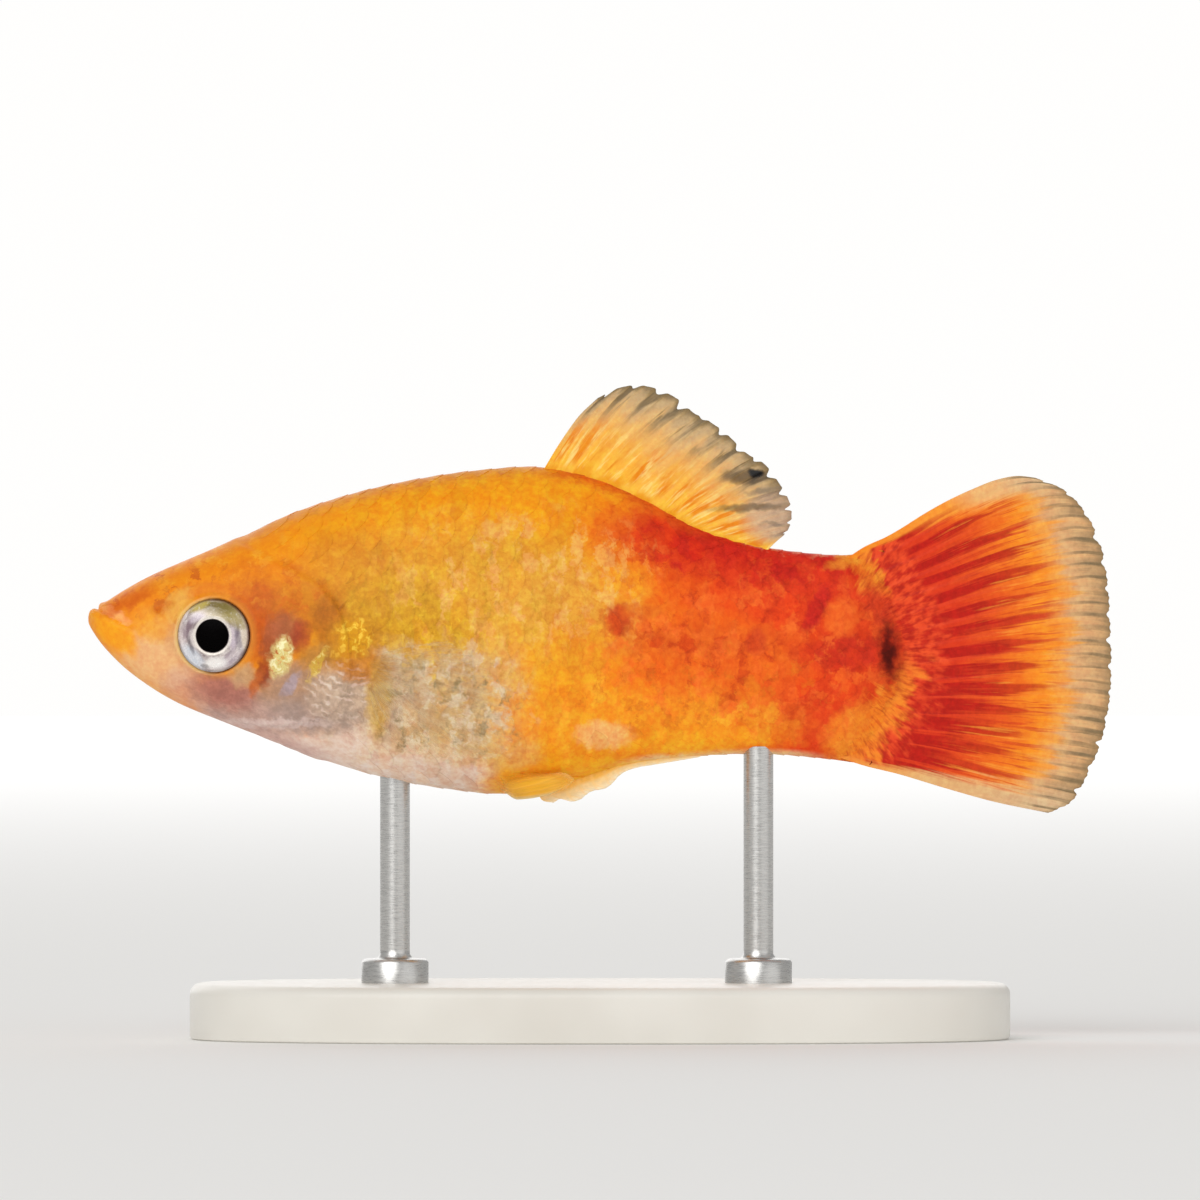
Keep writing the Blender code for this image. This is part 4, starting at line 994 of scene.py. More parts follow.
def scale_tree(material):
    """Lays scales out flat on the skin's unwrap, in staggered rows, and wraps them onto the skin."""
    tree = bpy.data.node_groups.new("platy_coat", "GeometryNodeTree")
    sockets = (
        ("Geometry", "NodeSocketGeometry"), ("Skin", "NodeSocketObject"), ("Pattern", "NodeSocketObject"),
        ("Columns", "NodeSocketInt"), ("Rows", "NodeSocketInt"), ("Length", "NodeSocketFloat"),
        ("Width", "NodeSocketFloat"), ("Patch", "NodeSocketFloat"), ("Seed", "NodeSocketInt"),
    )
    for name, kind in sockets:
        tree.interface.new_socket(name, in_out="INPUT", socket_type=kind)
    tree.interface.new_socket("Geometry", in_out="OUTPUT", socket_type="NodeSocketGeometry")
    nodes = Nodes(tree)
    inputs = nodes.add("NodeGroupInput").outputs
    rows, columns = inputs["Rows"], inputs["Columns"]
    skin = nodes.add("GeometryNodeObjectInfo", {"Object": inputs["Skin"]}).outputs["Geometry"]
    pattern = nodes.add("GeometryNodeObjectInfo", {"Object": inputs["Pattern"]}).outputs["Geometry"]

    def attribute(name, data_type="FLOAT_VECTOR"):
        node = nodes.add("GeometryNodeInputNamedAttribute", {"Name": name}, data_type=data_type)
        return node.outputs["Attribute"]

    def store(geometry, name, value, data_type, domain):
        given = {"Geometry": geometry, "Name": name, "Value": value}
        node = nodes.add("GeometryNodeStoreNamedAttribute", given, data_type=data_type, domain=domain)
        return node.outputs[0]

    def on_skin(value, place, data_type="FLOAT_VECTOR"):
        given = {"Mesh": skin, "Value": value, "Source UV Map": skin_map, "Sample UV": place}
        return nodes.add("GeometryNodeSampleUVSurface", given, data_type=data_type).outputs["Value"]

    skin_map = attribute("SkinMap")
    pitch = nodes.math("DIVIDE", 1.0, rows)
    reach = nodes.minus(1.0, nodes.times(inputs["Length"], SCALE_REACH))
    span = nodes.minus(1.0, pitch)
    grid = {"Size X": reach, "Size Y": span, "Vertices X": columns, "Vertices Y": rows}
    roots = nodes.add("GeometryNodeMeshGrid", grid).outputs["Mesh"]
    x, y, _ = nodes.split(nodes.add("GeometryNodeInputPosition").outputs[0])
    u = nodes.plus(x, nodes.times(reach, 0.5))
    steps = nodes.times(nodes.math("DIVIDE", u, reach), nodes.minus(columns, 1.0))
    column = nodes.math("ROUND", steps)
    shift = nodes.times(nodes.math("MODULO", column, 2.0), nodes.times(pitch, 0.5))
    v = nodes.plus(nodes.plus(y, nodes.times(span, 0.5)), shift)
    moved = {"Geometry": roots, "Position": nodes.join(u, v, 0.0)}
    laid = nodes.add("GeometryNodeSetPosition", moved).outputs[0]
    here = nodes.split(nodes.add("GeometryNodeInputPosition").outputs[0])
    wrapped = nodes.join(here[0], nodes.math("FRACT", here[1]), 0.0)
    bare = nodes.math("LESS_THAN", on_skin(attribute("covered", "FLOAT"), wrapped, "FLOAT"), 0.5)
    chosen = {"Geometry": laid, "Selection": bare}
    kept = nodes.add("GeometryNodeDeleteGeometry", chosen, domain="POINT")
    seed = inputs["Seed"]
    sizes = {2: SCALE_SIZES[0], 3: SCALE_SIZES[1], "Seed": seed}
    varied = nodes.add("FunctionNodeRandomValue", sizes, data_type="FLOAT")
    size = nodes.join(nodes.times(inputs["Length"], varied.outputs[1]), inputs["Width"], 1.0)
    placed = {"Points": kept.outputs[0], "Instance": pattern, "Scale": size}
    scales = nodes.add("GeometryNodeInstanceOnPoints", placed).outputs[0]
    tones = {"Seed": nodes.plus(seed, TONE_SEED_STEP)}
    toned = nodes.add("FunctionNodeRandomValue", tones, data_type="FLOAT")
    scales = store(scales, "tone", toned.outputs[1], "FLOAT", "INSTANCE")
    at_root = nodes.add("GeometryNodeInputPosition").outputs[0]
    scales = store(scales, "root", at_root, "FLOAT_VECTOR", "INSTANCE")
    scales = nodes.add("GeometryNodeRealizeInstances", {0: scales}).outputs[0]
    own = nodes.vector("SUBTRACT", attribute("ScaleMap"), (0.5, 0.5, 0.0))
    bake = nodes.vector("ADD", attribute("root"), nodes.scaled(own, inputs["Patch"]))
    bake_x, bake_y, _ = nodes.split(bake)
    bake = nodes.join(bake_x, nodes.plus(nodes.times(bake_y, BAKE_HEIGHT), inputs["Patch"]), 0.0)
    scales = store(scales, "OFBake", bake, "FLOAT2", "CORNER")
    at = nodes.split(nodes.add("GeometryNodeInputPosition").outputs[0])
    wrapped = nodes.join(at[0], nodes.math("FRACT", nodes.plus(at[1], 1.0)), 0.0)
    surface = on_skin(nodes.add("GeometryNodeInputPosition").outputs[0], wrapped)
    normal = on_skin(nodes.add("GeometryNodeInputNormal").outputs[0], wrapped)
    height = nodes.times(at[2], nodes.spread(at[0], 0.88, 0.99, 1.0, 0.2))
    moved = {"Geometry": scales, "Position": nodes.vector("ADD", surface, nodes.scaled(normal, height))}
    scales = nodes.add("GeometryNodeSetPosition", moved).outputs[0]
    scales = nodes.add("GeometryNodeSetMaterial", {"Geometry": scales, "Material": material}).outputs[0]
    nodes.add("NodeGroupOutput", {0: scales})
    return tree


def plain_mesh(obj, name):
    """The object's evaluated shape as a plain mesh object, in its place."""
    bpy.context.view_layer.update()
    graph = bpy.context.evaluated_depsgraph_get()
    mesh = bpy.data.meshes.new_from_object(obj.evaluated_get(graph))
    mesh.name = name
    bpy.data.objects.remove(obj)
    made = bpy.data.objects.new(name, mesh)
    bpy.context.scene.collection.objects.link(made)
    return made


def build_scales(settings):
    """The coat: overlapping scales from the nape and gill cover to the tail root."""
    coat = settings.coat
    pattern = scale_pattern(settings)
    holder = mesh_object("scale_holder", [(0, 0, 0)], [])
    modifier = holder.modifiers.new("coat", "NODES")
    modifier.node_group = scale_tree(scale_material())
    wanted = {
        "Skin": bpy.data.objects["platy_skin"], "Pattern": pattern, "Columns": coat.columns,
        "Rows": coat.rows, "Length": coat.length / MM / (TAIL_END_X - SNOUT[0]),
        "Width": coat.overlap / coat.rows, "Patch": BAKE_PATCH, "Seed": coat.seed,
    }
    for item in modifier.node_group.interface.items_tree:
        if item.in_out == "INPUT" and item.name in wanted:
            modifier[item.identifier] = wanted[item.name]
    scales = plain_mesh(holder, "platy_scales")
    bpy.data.objects.remove(pattern)
    scales.data.attributes.remove(scales.data.attributes["root"])
    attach(scales, "root")
    return scales


# Colours of the iris, in the same form as the patches, from the middle of the eye
IRIS = (
    ("D8C8C8", (-1.62, -0.05), (0.16, 0.6), 0, 0.6, 0.7),
    ("86707A", (-1.36, 0.42), (0.22, 0.55), -14, 0.6, 0.8),
    ("DCD0DA", (-0.75, 1.1), (0.5, 0.2), 38, 0.6, 0.8),
    ("D6DEE8", (-1.12, -1.15), (0.7, 0.34), -45, 0.6, 0.9),
    ("665E64", (-1.2, -0.5), (0.1, 0.45), 18, 0.7, 0.7),
    ("BCACB6", (0.95, -1.25), (0.55, 0.28), 40, 0.6, 0.7),
    # the near-white patch low on the iris is a painted highlight
    ("FFFDF8", (0.15, -1.45), (0.5, 0.25), 4, 0.6, 0.95),
    ("575050", (-0.45, -1.62), (0.18, 0.1), -10, 0.7, 0.8),
    ("D8CAD6", (1.1, -0.1), (0.2, 0.55), 0, 0.6, 0.8),
    ("776C78", (1.4, -0.1), (0.15, 0.55), 8, 0.6, 0.9),
    ("E8D6B8", (1.7, 0.1), (0.15, 0.8), 6, 0.6, 0.8),
    ("C6B88C", (0.3, 1.15), (0.9, 0.22), -16, 0.8, 0.7),
    ("9C8C50", (1.16, 1.02), (0.7, 0.36), -44, 0.6, 0.95),
    ("84763E", (0.72, 1.4), (0.55, 0.42), -28, 0.6, 0.92),
    ("685A28", (0.15, 1.68), (0.95, 0.38), -6, 0.6, 0.95),
    ("AE9A48", (-0.8, 1.64), (0.55, 0.26), 28, 0.6, 0.9),
)


def eye_material(settings):
    made, nodes, shader = new_material("platy_eye_finish")
    eye = settings.eye
    where = nodes.add("ShaderNodeUVMap", uv_map="EyeMap").outputs[0]
    placed = nodes.vector("SUBTRACT", where, (0.5, 0.5, 0.0))
    reach = nodes.times(nodes.vector("LENGTH", placed), 2 * eye.radius / MM)
    x, y, _ = nodes.split(nodes.scaled(placed, 2 * eye.radius / MM))
    away = nodes.math("MAXIMUM", reach, 0.05)
    ring = nodes.join(nodes.math("DIVIDE", x, away), nodes.math("DIVIDE", y, away), nodes.times(reach, 2.4))
    clouds = nodes.noise(ring, 1.5, 3.0, 0.65)
    fine = nodes.noise(placed, 22.0, 2.0, 0.6)
    flat = nodes.join(x, 0.0, y)
    iris = nodes.mix(nodes.spread(clouds, 0.38, 0.62), "988A8A", "D8CECA")
    for code, *form in IRIS:
        mask = nodes.times(nodes.patch(flat, *form), nodes.spread(clouds, 0.3, 0.6, 1.0, 0.65))
        iris = nodes.mix(mask, iris, code)
    iris = nodes.mix(nodes.spread(fine, 0.6, 0.72, 0.0, 0.35), iris, "F8F8F6")
    pupil = eye.pupil / MM
    rim = nodes.spread(reach, pupil, pupil + 0.04)
    rim = nodes.times(rim, nodes.spread(reach, pupil + 0.07, pupil + 0.22, 0.9, 0.0), 0.85)
    colour = nodes.mix(rim, iris, "EFE8DC")
    turned = nodes.plus(nodes.times(x, 0.8), nodes.times(y, 0.4))
    limbus = nodes.times(nodes.spread(reach, 1.8, 1.92), nodes.spread(turned, -1.0, 0.8, 0.0, 0.6))
    colour = nodes.mix(limbus, colour, "6A4428")
    foot = nodes.times(nodes.spread(reach, 1.78, 1.88), nodes.spread(y, -0.9, 0.0, 0.4, 0.0))
    colour = nodes.mix(foot, colour, "6E6460")
    black = nodes.spread(reach, pupil - 0.03, pupil + 0.03, 1.0, 0.0)
    nodes.feed(shader.inputs, {
        "Base Color": nodes.mix(black, colour, "020101"), "Specular IOR Level": 0.02,
        "Metallic": nodes.times(nodes.minus(1.0, black), 0.2), "Coat Roughness": 0.05,
        "Roughness": nodes.spread(fine, 0.3, 0.7, 0.2, 0.34),
        "Coat Weight": nodes.spread(black, 0.0, 1.0, 0.14, 0.0),
    })
    add_bump(nodes, shader, clouds, 0.25, 0.05)
    return made


def eye_profile(eye):
    """The eye's outline from the middle of its front to the middle of its back, as (radius, height)."""
    radius, pupil, bulge = eye.radius / MM, eye.pupil / MM, eye.bulge / MM
    profile = []
    for r in [*np.linspace(0.0, pupil, 10), *np.linspace(pupil + 0.02, radius - 0.06, 26)]:
        h = bulge * (1 - (r / radius) ** 2)
        h += 0.03 * smoothstep(pupil, pupil - 0.12, r) - 0.03 * hump(r - pupil - 0.03, 0.035)
        h += 0.02 * hump(r - pupil - 0.16, 0.08) - 0.02 * hump(r - 1.45, 0.2)
        profile.append((r, h))
    for turn in np.linspace(0.0, math.pi / 2, 14):
        profile.append((radius * math.cos(turn) ** 0.8, -0.03 - EYE_BOWL * math.sin(turn)))
    profile[-1] = (0.0, EYE_BACK)
    return profile


def build_eye(settings, name, side, material):
    """An eye as a lens that follows the lie of the head, closed behind."""
    eye = settings.eye
    step, count = EYE_SLOPE_STEP, EYE_STEPS
    x, z = EYE
    slope_x = (side_of_body(x + step, z) - side_of_body(x - step, z)) / (2 * step)
    slope_z = (side_of_body(x, z + step) - side_of_body(x, z - step)) / (2 * step)
    out = Vector((-slope_x, side, -slope_z)).normalized()
    rear = (Vector((1, 0, 0)) - out * out.x).normalized()
    up = Vector((0, 0, 1))
    up = (up - out * out.dot(up) - rear * rear.dot(up)).normalized()
    centre = Vector((x, side * (float(side_of_body(x, z)) - eye.sink / MM), z))
    profile = eye_profile(eye)
    points = [centre + out * profile[0][1]]
    flat = [(0.5, 0.5)]
    for r, h in profile[1:-1]:
        reach = r * MM / eye.radius / 2
        for cos, sin in round_steps(count):
            points.append(centre + rear * (r * cos) + up * (r * sin) + out * h)
            flat.append((0.5 + reach * cos, 0.5 + reach * sin))
    points.append(centre + out * profile[-1][1])
    flat.append((0.5, 0.5))
    last = len(points) - 1
    faces = []
    for k in range(count):
        j = (k + 1) % count
        faces.append((0, 1 + k, 1 + j))
        faces.append((last, last - count + j, last - count + k))
        for i in range(len(profile) - 3):
            low, high = 1 + i * count, 1 + (i + 1) * count
            faces.append((low + k, high + k, high + j, low + j))
    obj = mesh_object("platy_" + name, [tuple(point) for point in points], faces, material)
    face_outward(obj)
    set_uv(obj, "EyeMap", np.asarray(flat)[corner_points(obj)])
    return finish_piece(obj, "eye", name)


# Outlines of the fins, as (x, z) points. Every ray of the dorsal fin has its own root, given as a
# place along the back, and its own tip.
DORSAL_ROOT_X = (-3.1, -2.4, -1.6, -0.7, 0.4, 1.7, 3.0, 3.5, 4.0, 4.6, 5.2, 5.9, 6.9, 8.9)
DORSAL_RIM = (
    (-0.1, 34.4), (1.25, 35.0), (2.7, 35.0), (3.95, 34.5), (5.05, 33.6), (6.1, 33.0), (7.15, 32.15),
    (8.0, 31.35), (8.9, 30.8), (9.65, 29.8), (10.15, 28.9), (10.3, 28.1), (10.15, 27.4), (9.85, 27.0),
)
DORSAL_FRONT = ((-2.3, 31.75), (-1.7, 32.65), (-1.1, 33.45), (-0.1, 34.4))
DORSAL_REAR = ((9.4, 26.62), (9.85, 27.0))
CAUDAL_ROOT = ((13.2, 25.75), (15.5, 23.4), (16.1, 20.6), (15.3, 17.8), (12.8, 15.1))
CAUDAL_TOP = (
    (14.2, 26.4), (15.4, 26.95), (16.1, 27.35), (17.4, 28.17), (18.65, 28.87), (20.0, 29.5), (21.3, 30.0),
    (22.4, 30.2), (23.4, 30.1),
)
CAUDAL_RIM = (
    (23.4, 30.1), (25.0, 29.4), (26.1, 28.2), (26.9, 26.5), (27.3, 24.0), (27.4, 22.0), (27.45, 20.0),
    (27.4, 18.7), (26.95, 16.1), (26.1, 14.0), (25.3, 12.7), (24.1, 12.1),
)
CAUDAL_FOOT = ((14.0, 14.7), (16.0, 14.2), (18.5, 13.45), (21.0, 12.75), (24.1, 12.1))
ANAL_ROOT_X = (-3.4, 5.2)
ANAL_FRONT = ((-3.1, 12.8), (-2.5, 12.66))
ANAL_RIM = (
    (-2.5, 12.66), (-2.1, 12.86), (-1.5, 12.72), (-1.05, 12.84), (-0.55, 13.22), (0.35, 13.46), (1.3, 14.3),
    (1.9, 14.52), (2.8, 14.68), (4.0, 14.88), (5.4, 15.12),
)
ANAL_REAR = ((5.3, 15.25), (5.4, 15.12))
PECTORAL_ROOT = ((-12.2, 20.5), (-12.45, 19.85), (-12.45, 19.2))
PECTORAL_TOP = ((-10.2, 21.1), (-8.1, 21.35))
PECTORAL_RIM = (
    (-8.1, 21.35), (-6.3, 20.2), (-5.1, 18.4), (-4.5, 16.4), (-4.9, 15.5), (-7.5, 15.1), (-10.4, 15.4),
)
PECTORAL_FOOT = ((-11.9, 17.2), (-10.4, 15.4))

# Outlines of a pelvic fin, as (x, y) points seen from below, with y away from the mid plane
PELVIC_ROOT = ((-6.0, 2.4), (-5.6, 1.4))
PELVIC_OUTER = ((-4.4, 2.6), (-2.9, 2.3))
PELVIC_RIM = ((-2.9, 2.3), (-1.9, 1.9), (-1.5, 1.45), (-2.6, 1.0))
PELVIC_INNER = ((-4.2, 1.15), (-2.6, 1.0))

FIN_SINK = 0.35  # how far a fin's root runs into the flesh
PECTORAL_GAP = 0.6  # from the flank to the middle of a pectoral fin, near its root
PELVIC_GAP = 0.36  # from the belly to the middle of a pelvic fin, near its root
PECTORAL_FLARE = math.radians(16)  # how far each leans out from there on
PELVIC_FLARE = math.radians(1.5)
PELVIC_SLOPE_STEP = 0.05  # the belly's slope is taken over this distance to each side
ROOT_SWELL = 0.75  # the length over which a fin's thick root thins down
RAY_JOINT = 0.28  # the length of one joint of a ray
RIM_DIP = 0.005  # how far the rim draws back between two rays, as a share of the fin
SIDEWAYS = (0.0, 1.0, 0.0)
FIN_FORMS = {
    # rays, columns, rows, half thickness at the root, first and second fork, worn notch, wave, ray share
    "dorsal_fin": (14, 274, 100, 0.42, 0.5, 2.0, 0.075, 0.25, 0.6),
    "caudal_fin": (16, 376, 120, 0.3, 0.5, 0.8, 0.02, 0.3, 0.4),
    "anal_fin": (13, 200, 36, 0.2, 0.6, 2.0, 0.02, 0.0, 0.25),
    "pectoral_fin": (12, 190, 70, 0.22, 0.5, 2.0, 0.02, 0.15, 0.3),
    "pelvic_fin": (6, 84, 44, 0.2, 0.55, 2.0, 0.02, 0.0, 0.3),
}

# Colours from root to rim
CAUDAL_RAMP = (
    (0.0, "D4301A"), (0.3, "DA3C1A"), (0.45, "E0501A"), (0.58, "EA6E1C"), (0.71, "F28E22"), (0.79, "F0A246"),
    (0.87, "DEAC76"), (1.0, "B69268"),
)
CAUDAL_TOP_HEM = ((0.0, "F08A22"), (0.5, "F49A34"), (0.7, "EAB474"), (1.0, "D8B68C"))
CAUDAL_FOOT_HEM = ((0.0, "EC8A34"), (0.2, "EAA050"), (0.42, "E2B67A"), (1.0, "D8B68C"))
DORSAL_RAMP = (
    (0.0, "F0A420"), (0.15, "F8BC3C"), (0.34, "F4B446"), (0.5, "ECB460"), (0.7, "E0B474"), (0.88, "C8A878"),
    (1.0, "9C8258"),
)
# The anal fin's own yellow and cream, lightened past its colour as painted light on faces that turn down into
# shade
ANAL_RAMP = ((0.0, "FCB438"), (0.3, "FFC65C"), (0.5, "FFDC9C"), (1.0, "FFECC8"))
PECTORAL_RAMP = ((0.0, "D08A34"), (0.2, "C2AC86"), (1.0, "C8B08A"))
# The pelvic fin's own yellow and cream, lightened past its colour as painted light on faces that turn down
# into shade
PELVIC_RAMP = ((0.0, "E0B87A"), (0.25, "F6B840"), (0.5, "FFBA34"), (0.9, "FFBE44"), (1.0, "FFD07A"))

# The spot and streaks at the rear of the dorsal fin, in the same form as the patches
DORSAL_SPOTS = (
    ("CDAC92", (9.2, 28.0), (1.2, 1.1), 0, 0.6, 0.6),
    ("5C4C34", (8.05, 28.5), (1.4, 0.16), 3, 0.9, 0.72),
    ("7A6C58", (8.9, 29.4), (0.9, 0.13), 6, 0.6, 0.6),
    ("7A6C58", (9.4, 27.6), (0.7, 0.1), -4, 0.6, 0.5),
    ("3E3020", (7.75, 30.15), (0.9, 0.3), 0, 0.8, 0.8),
    ("080504", (8.36, 30.33), (0.38, 0.25), 0, 0.4, 1.0),
)


def coons(root, rim, first, last, a, b):
    """Points of a sheet at every (a, b): a runs from its first ray to its last, b from root to rim."""
    along, out = a[:, None, None], b[None, :, None]
    rails = (1 - out) * root(a)[:, None] + out * rim(a)[:, None]
    rails = rails + (1 - along) * first(b)[None] + along * last(b)[None]
    ends = np.array([0.0, 1.0])
    roots, rims = root(ends), rim(ends)
    near = (1 - out) * ((1 - along) * roots[0] + along * roots[1])
    far = out * ((1 - along) * rims[0] + along * rims[1])
    return rails - near - far


def ray_ridges(a, b, rays, first_fork, second_fork):
    """How nearly every point of a fin lies on a ray, 0 to 1. Rays fork on their way to the rim."""
    phase = a * (rays - 1)
    off = np.abs(phase - np.round(phase))
    off = np.abs(off - 0.25 * smoothstep(first_fork, first_fork + 0.3, b))
    off = np.abs(off - 0.125 * smoothstep(second_fork, second_fork + 0.3, b))
    width = 0.13 - 0.05 * smoothstep(first_fork, first_fork + 0.3, b)
    return hump(off, width)


def fin_mesh(node, place, material, slot, fins):
    """A closed fin sheet. place() gives its mid points, the directions of its thickness, its lengths."""
    name, kind = "platy_" + node, node.removesuffix("_left").removesuffix("_right")
    rays, columns, rows, root_half, first_fork, second_fork, notch, wave, ray_share = FIN_FORMS[kind]
    rng = np.random.default_rng(len(name) + rays)
    a, b = np.linspace(0, 1, columns), np.linspace(0, 1, rows) ** 1.1
    ridge = ray_ridges(a[:, None], b[None, :], rays, first_fork, second_fork)
    at_rim = ray_ridges(a, np.ones(columns), rays, first_fork, second_fork)
    worn = np.zeros(columns)
    for gap in range(rays - 1):
        depth = 1.0 if gap == 0 else rng.uniform(0.1, 1.0)
        worn += notch * depth * hump(a * (rays - 1) - gap - 0.5, rng.uniform(0.1, 0.22))
    reach = 1 - RIM_DIP * (1 - at_rim) - worn
    sag = smoothstep(0.55, 1.0, b)[None, :] * (reach[:, None] - 1)
    points, across, length = place(a, b, b[None, :] + sag)
    root_fade = np.exp(-b[None, :] * length / ROOT_SWELL)
    half = fins.membrane / MM + (root_half - fins.membrane / MM) * root_fade
    joints = 0.85 + 0.15 * np.cos(2 * math.pi * b[None, :] * length / RAY_JOINT)
    rise = ray_share * fins.ray_rise / MM * (1 - 0.7 * b) * smoothstep(0.0, 0.05, b)
    half = half + rise[None, :] * ridge * joints
    half = half * (1 - 0.6 * smoothstep(0.93, 1.0, b)[None, :])
    sway = wave * np.sin(a[:, None] * 7.0 + 0.6) * b[None, :] ** 1.5
    points = points + across * sway[..., None]
    both = np.concatenate([points - half[..., None] * across, points + half[..., None] * across])
    obj = mesh_object(name, both.reshape(-1, 3), sheet_faces(columns, rows), material)
    face_outward(obj)
    flat = np.stack(np.broadcast_arrays(a[:, None], b[None, :]), -1).reshape(-1, 2)
    set_uv(obj, "FinMap", np.vstack([flat, flat])[corner_points(obj)])
    set_attribute(obj, "ray", np.concatenate([ridge.ravel(), ridge.ravel()]))
    return finish_piece(obj, slot, node)


def sheet_faces(wide, tall):
    """Faces of both sides of a sheet of wide by tall points, and of its edge."""
    far = wide * tall
    i, j = np.meshgrid(np.arange(wide - 1), np.arange(tall - 1), indexing="ij")
    corner = (i * tall + j).ravel()
    near = np.stack([corner, corner + tall, corner + tall + 1, corner + 1], -1)
    faces = near.tolist() + (far + near[:, ::-1]).tolist()
    edge = [i * tall for i in range(wide)]
    edge += [(wide - 1) * tall + j for j in range(1, tall)]
    edge += [i * tall + tall - 1 for i in range(wide - 2, -1, -1)]
    edge += list(range(tall - 2, 0, -1))
    for start, end in zip(edge, edge[1:] + edge[:1]):
        faces.append((start, end, far + end, far + start))
    return faces


def by_ray(points):
    """The smooth line through the points, which stand at equal steps of its parameter."""
    return lambda t: smooth_through(np.linspace(0.0, 1.0, len(points)), points, t)


def median_place(root, front, rim, rear):
    """The place function of a fin in the mid plane."""
    start, end = root(np.array([0.0, 1.0]))
    lines = root, rim, path([start, *front]), path([end, *rear])

    def place(a, b, reach):
        x, z, length = worn_sheet(lines, a, b, reach)
        points = np.stack([x, np.zeros_like(x), z], -1)
        return points, np.broadcast_to(SIDEWAYS, points.shape), length
    return place


def worn_sheet(lines, a, b, reach):
    """A sheet between four lines, drawn back along its columns to the given reach, and their lengths."""
    full = coons(*lines, a, b)
    sheet = np.empty_like(full)
    for i, column in enumerate(full):
        for axis in (0, 1):
            sheet[i, :, axis] = np.interp(reach[i], b, column[:, axis])
    return sheet[..., 0], sheet[..., 1], np.linalg.norm(full[:, -1] - full[:, 0], axis=-1)[:, None]


def fan_lines(root, rim, first, last):
    """The four lines of a paired fin: root, rim, first ray and last ray."""
    return path(root), path(rim), path([root[0], *first]), path([root[-1], *last])


def off_body(start, first, second, gap, run, flare):
    """How far a paired fin stands off the skin, from its sunk root outwards."""
    way = np.hypot(first - start[:, :1], second - start[:, 1:])
    return -FIN_SINK + (gap + FIN_SINK) * smoothstep(0.0, run, way) + way * math.tan(flare)


def pectoral_place(side):
    """The place function of a fan held a little off the flank."""
    lines = fan_lines(PECTORAL_ROOT, PECTORAL_RIM, PECTORAL_TOP, PECTORAL_FOOT)

    def place(a, b, reach):
        x, z, length = worn_sheet(lines, a, b, reach)
        start = lines[0](a)
        away = off_body(start, x, z, PECTORAL_GAP, 1.6, PECTORAL_FLARE)
        y = side * (side_of_body(start[:, 0], start[:, 1])[:, None] + away)
        points = np.stack([x, y, z], -1)
        return points, np.broadcast_to(SIDEWAYS, points.shape), length
    return place


def pelvic_place(side):
    """The place function of a small fin laid back along the belly."""
    lines = fan_lines(PELVIC_ROOT, PELVIC_RIM, PELVIC_OUTER, PELVIC_INNER)
    step = PELVIC_SLOPE_STEP

    def place(a, b, reach):
        x, y, length = worn_sheet(lines, a, b, reach)
        slope_x = (under_body(x + step, y) - under_body(x - step, y)) / (2 * step)
        slope_y = (under_body(x, y + step) - under_body(x, y - step)) / (2 * step)
        normal = np.stack([slope_x, slope_y, -np.ones_like(x)], -1)
        normal /= np.linalg.norm(normal, axis=-1, keepdims=True)
        away = off_body(lines[0](a), x, y, PELVIC_GAP, 1.2, PELVIC_FLARE)
        points = np.stack([x, y, under_body(x, y)], -1) + away[..., None] * normal
        return points * (1, side, 1), normal * (1, side, 1), length
    return place


def fin_inputs(nodes):
    """What every fin material reads: across and along the fin, nearness to a ray, and place."""
    a, b, _ = nodes.split(nodes.add("ShaderNodeUVMap", uv_map="FinMap").outputs[0])
    ray = nodes.add("ShaderNodeAttribute", attribute_name="ray").outputs["Fac"]
    return a, b, ray, body_place(nodes)


def streaks(nodes, a, b, per_fin, stretch, seed):
    """Noise drawn out along the rays."""
    place = nodes.join(nodes.times(a, per_fin), nodes.times(b, stretch), seed)
    return nodes.noise(place, 1.0, 3.0, 0.65)


def off_film(nodes, a, rays, thin, sway):
    """How far a place is from the middle of the film between two rays, up to 0.5 on a ray."""
    drift = nodes.plus(nodes.times(a, rays), nodes.spread(thin, 0.3, 0.7, -sway, sway))
    return nodes.math("ABSOLUTE", nodes.minus(nodes.math("FRACT", drift), 0.5))


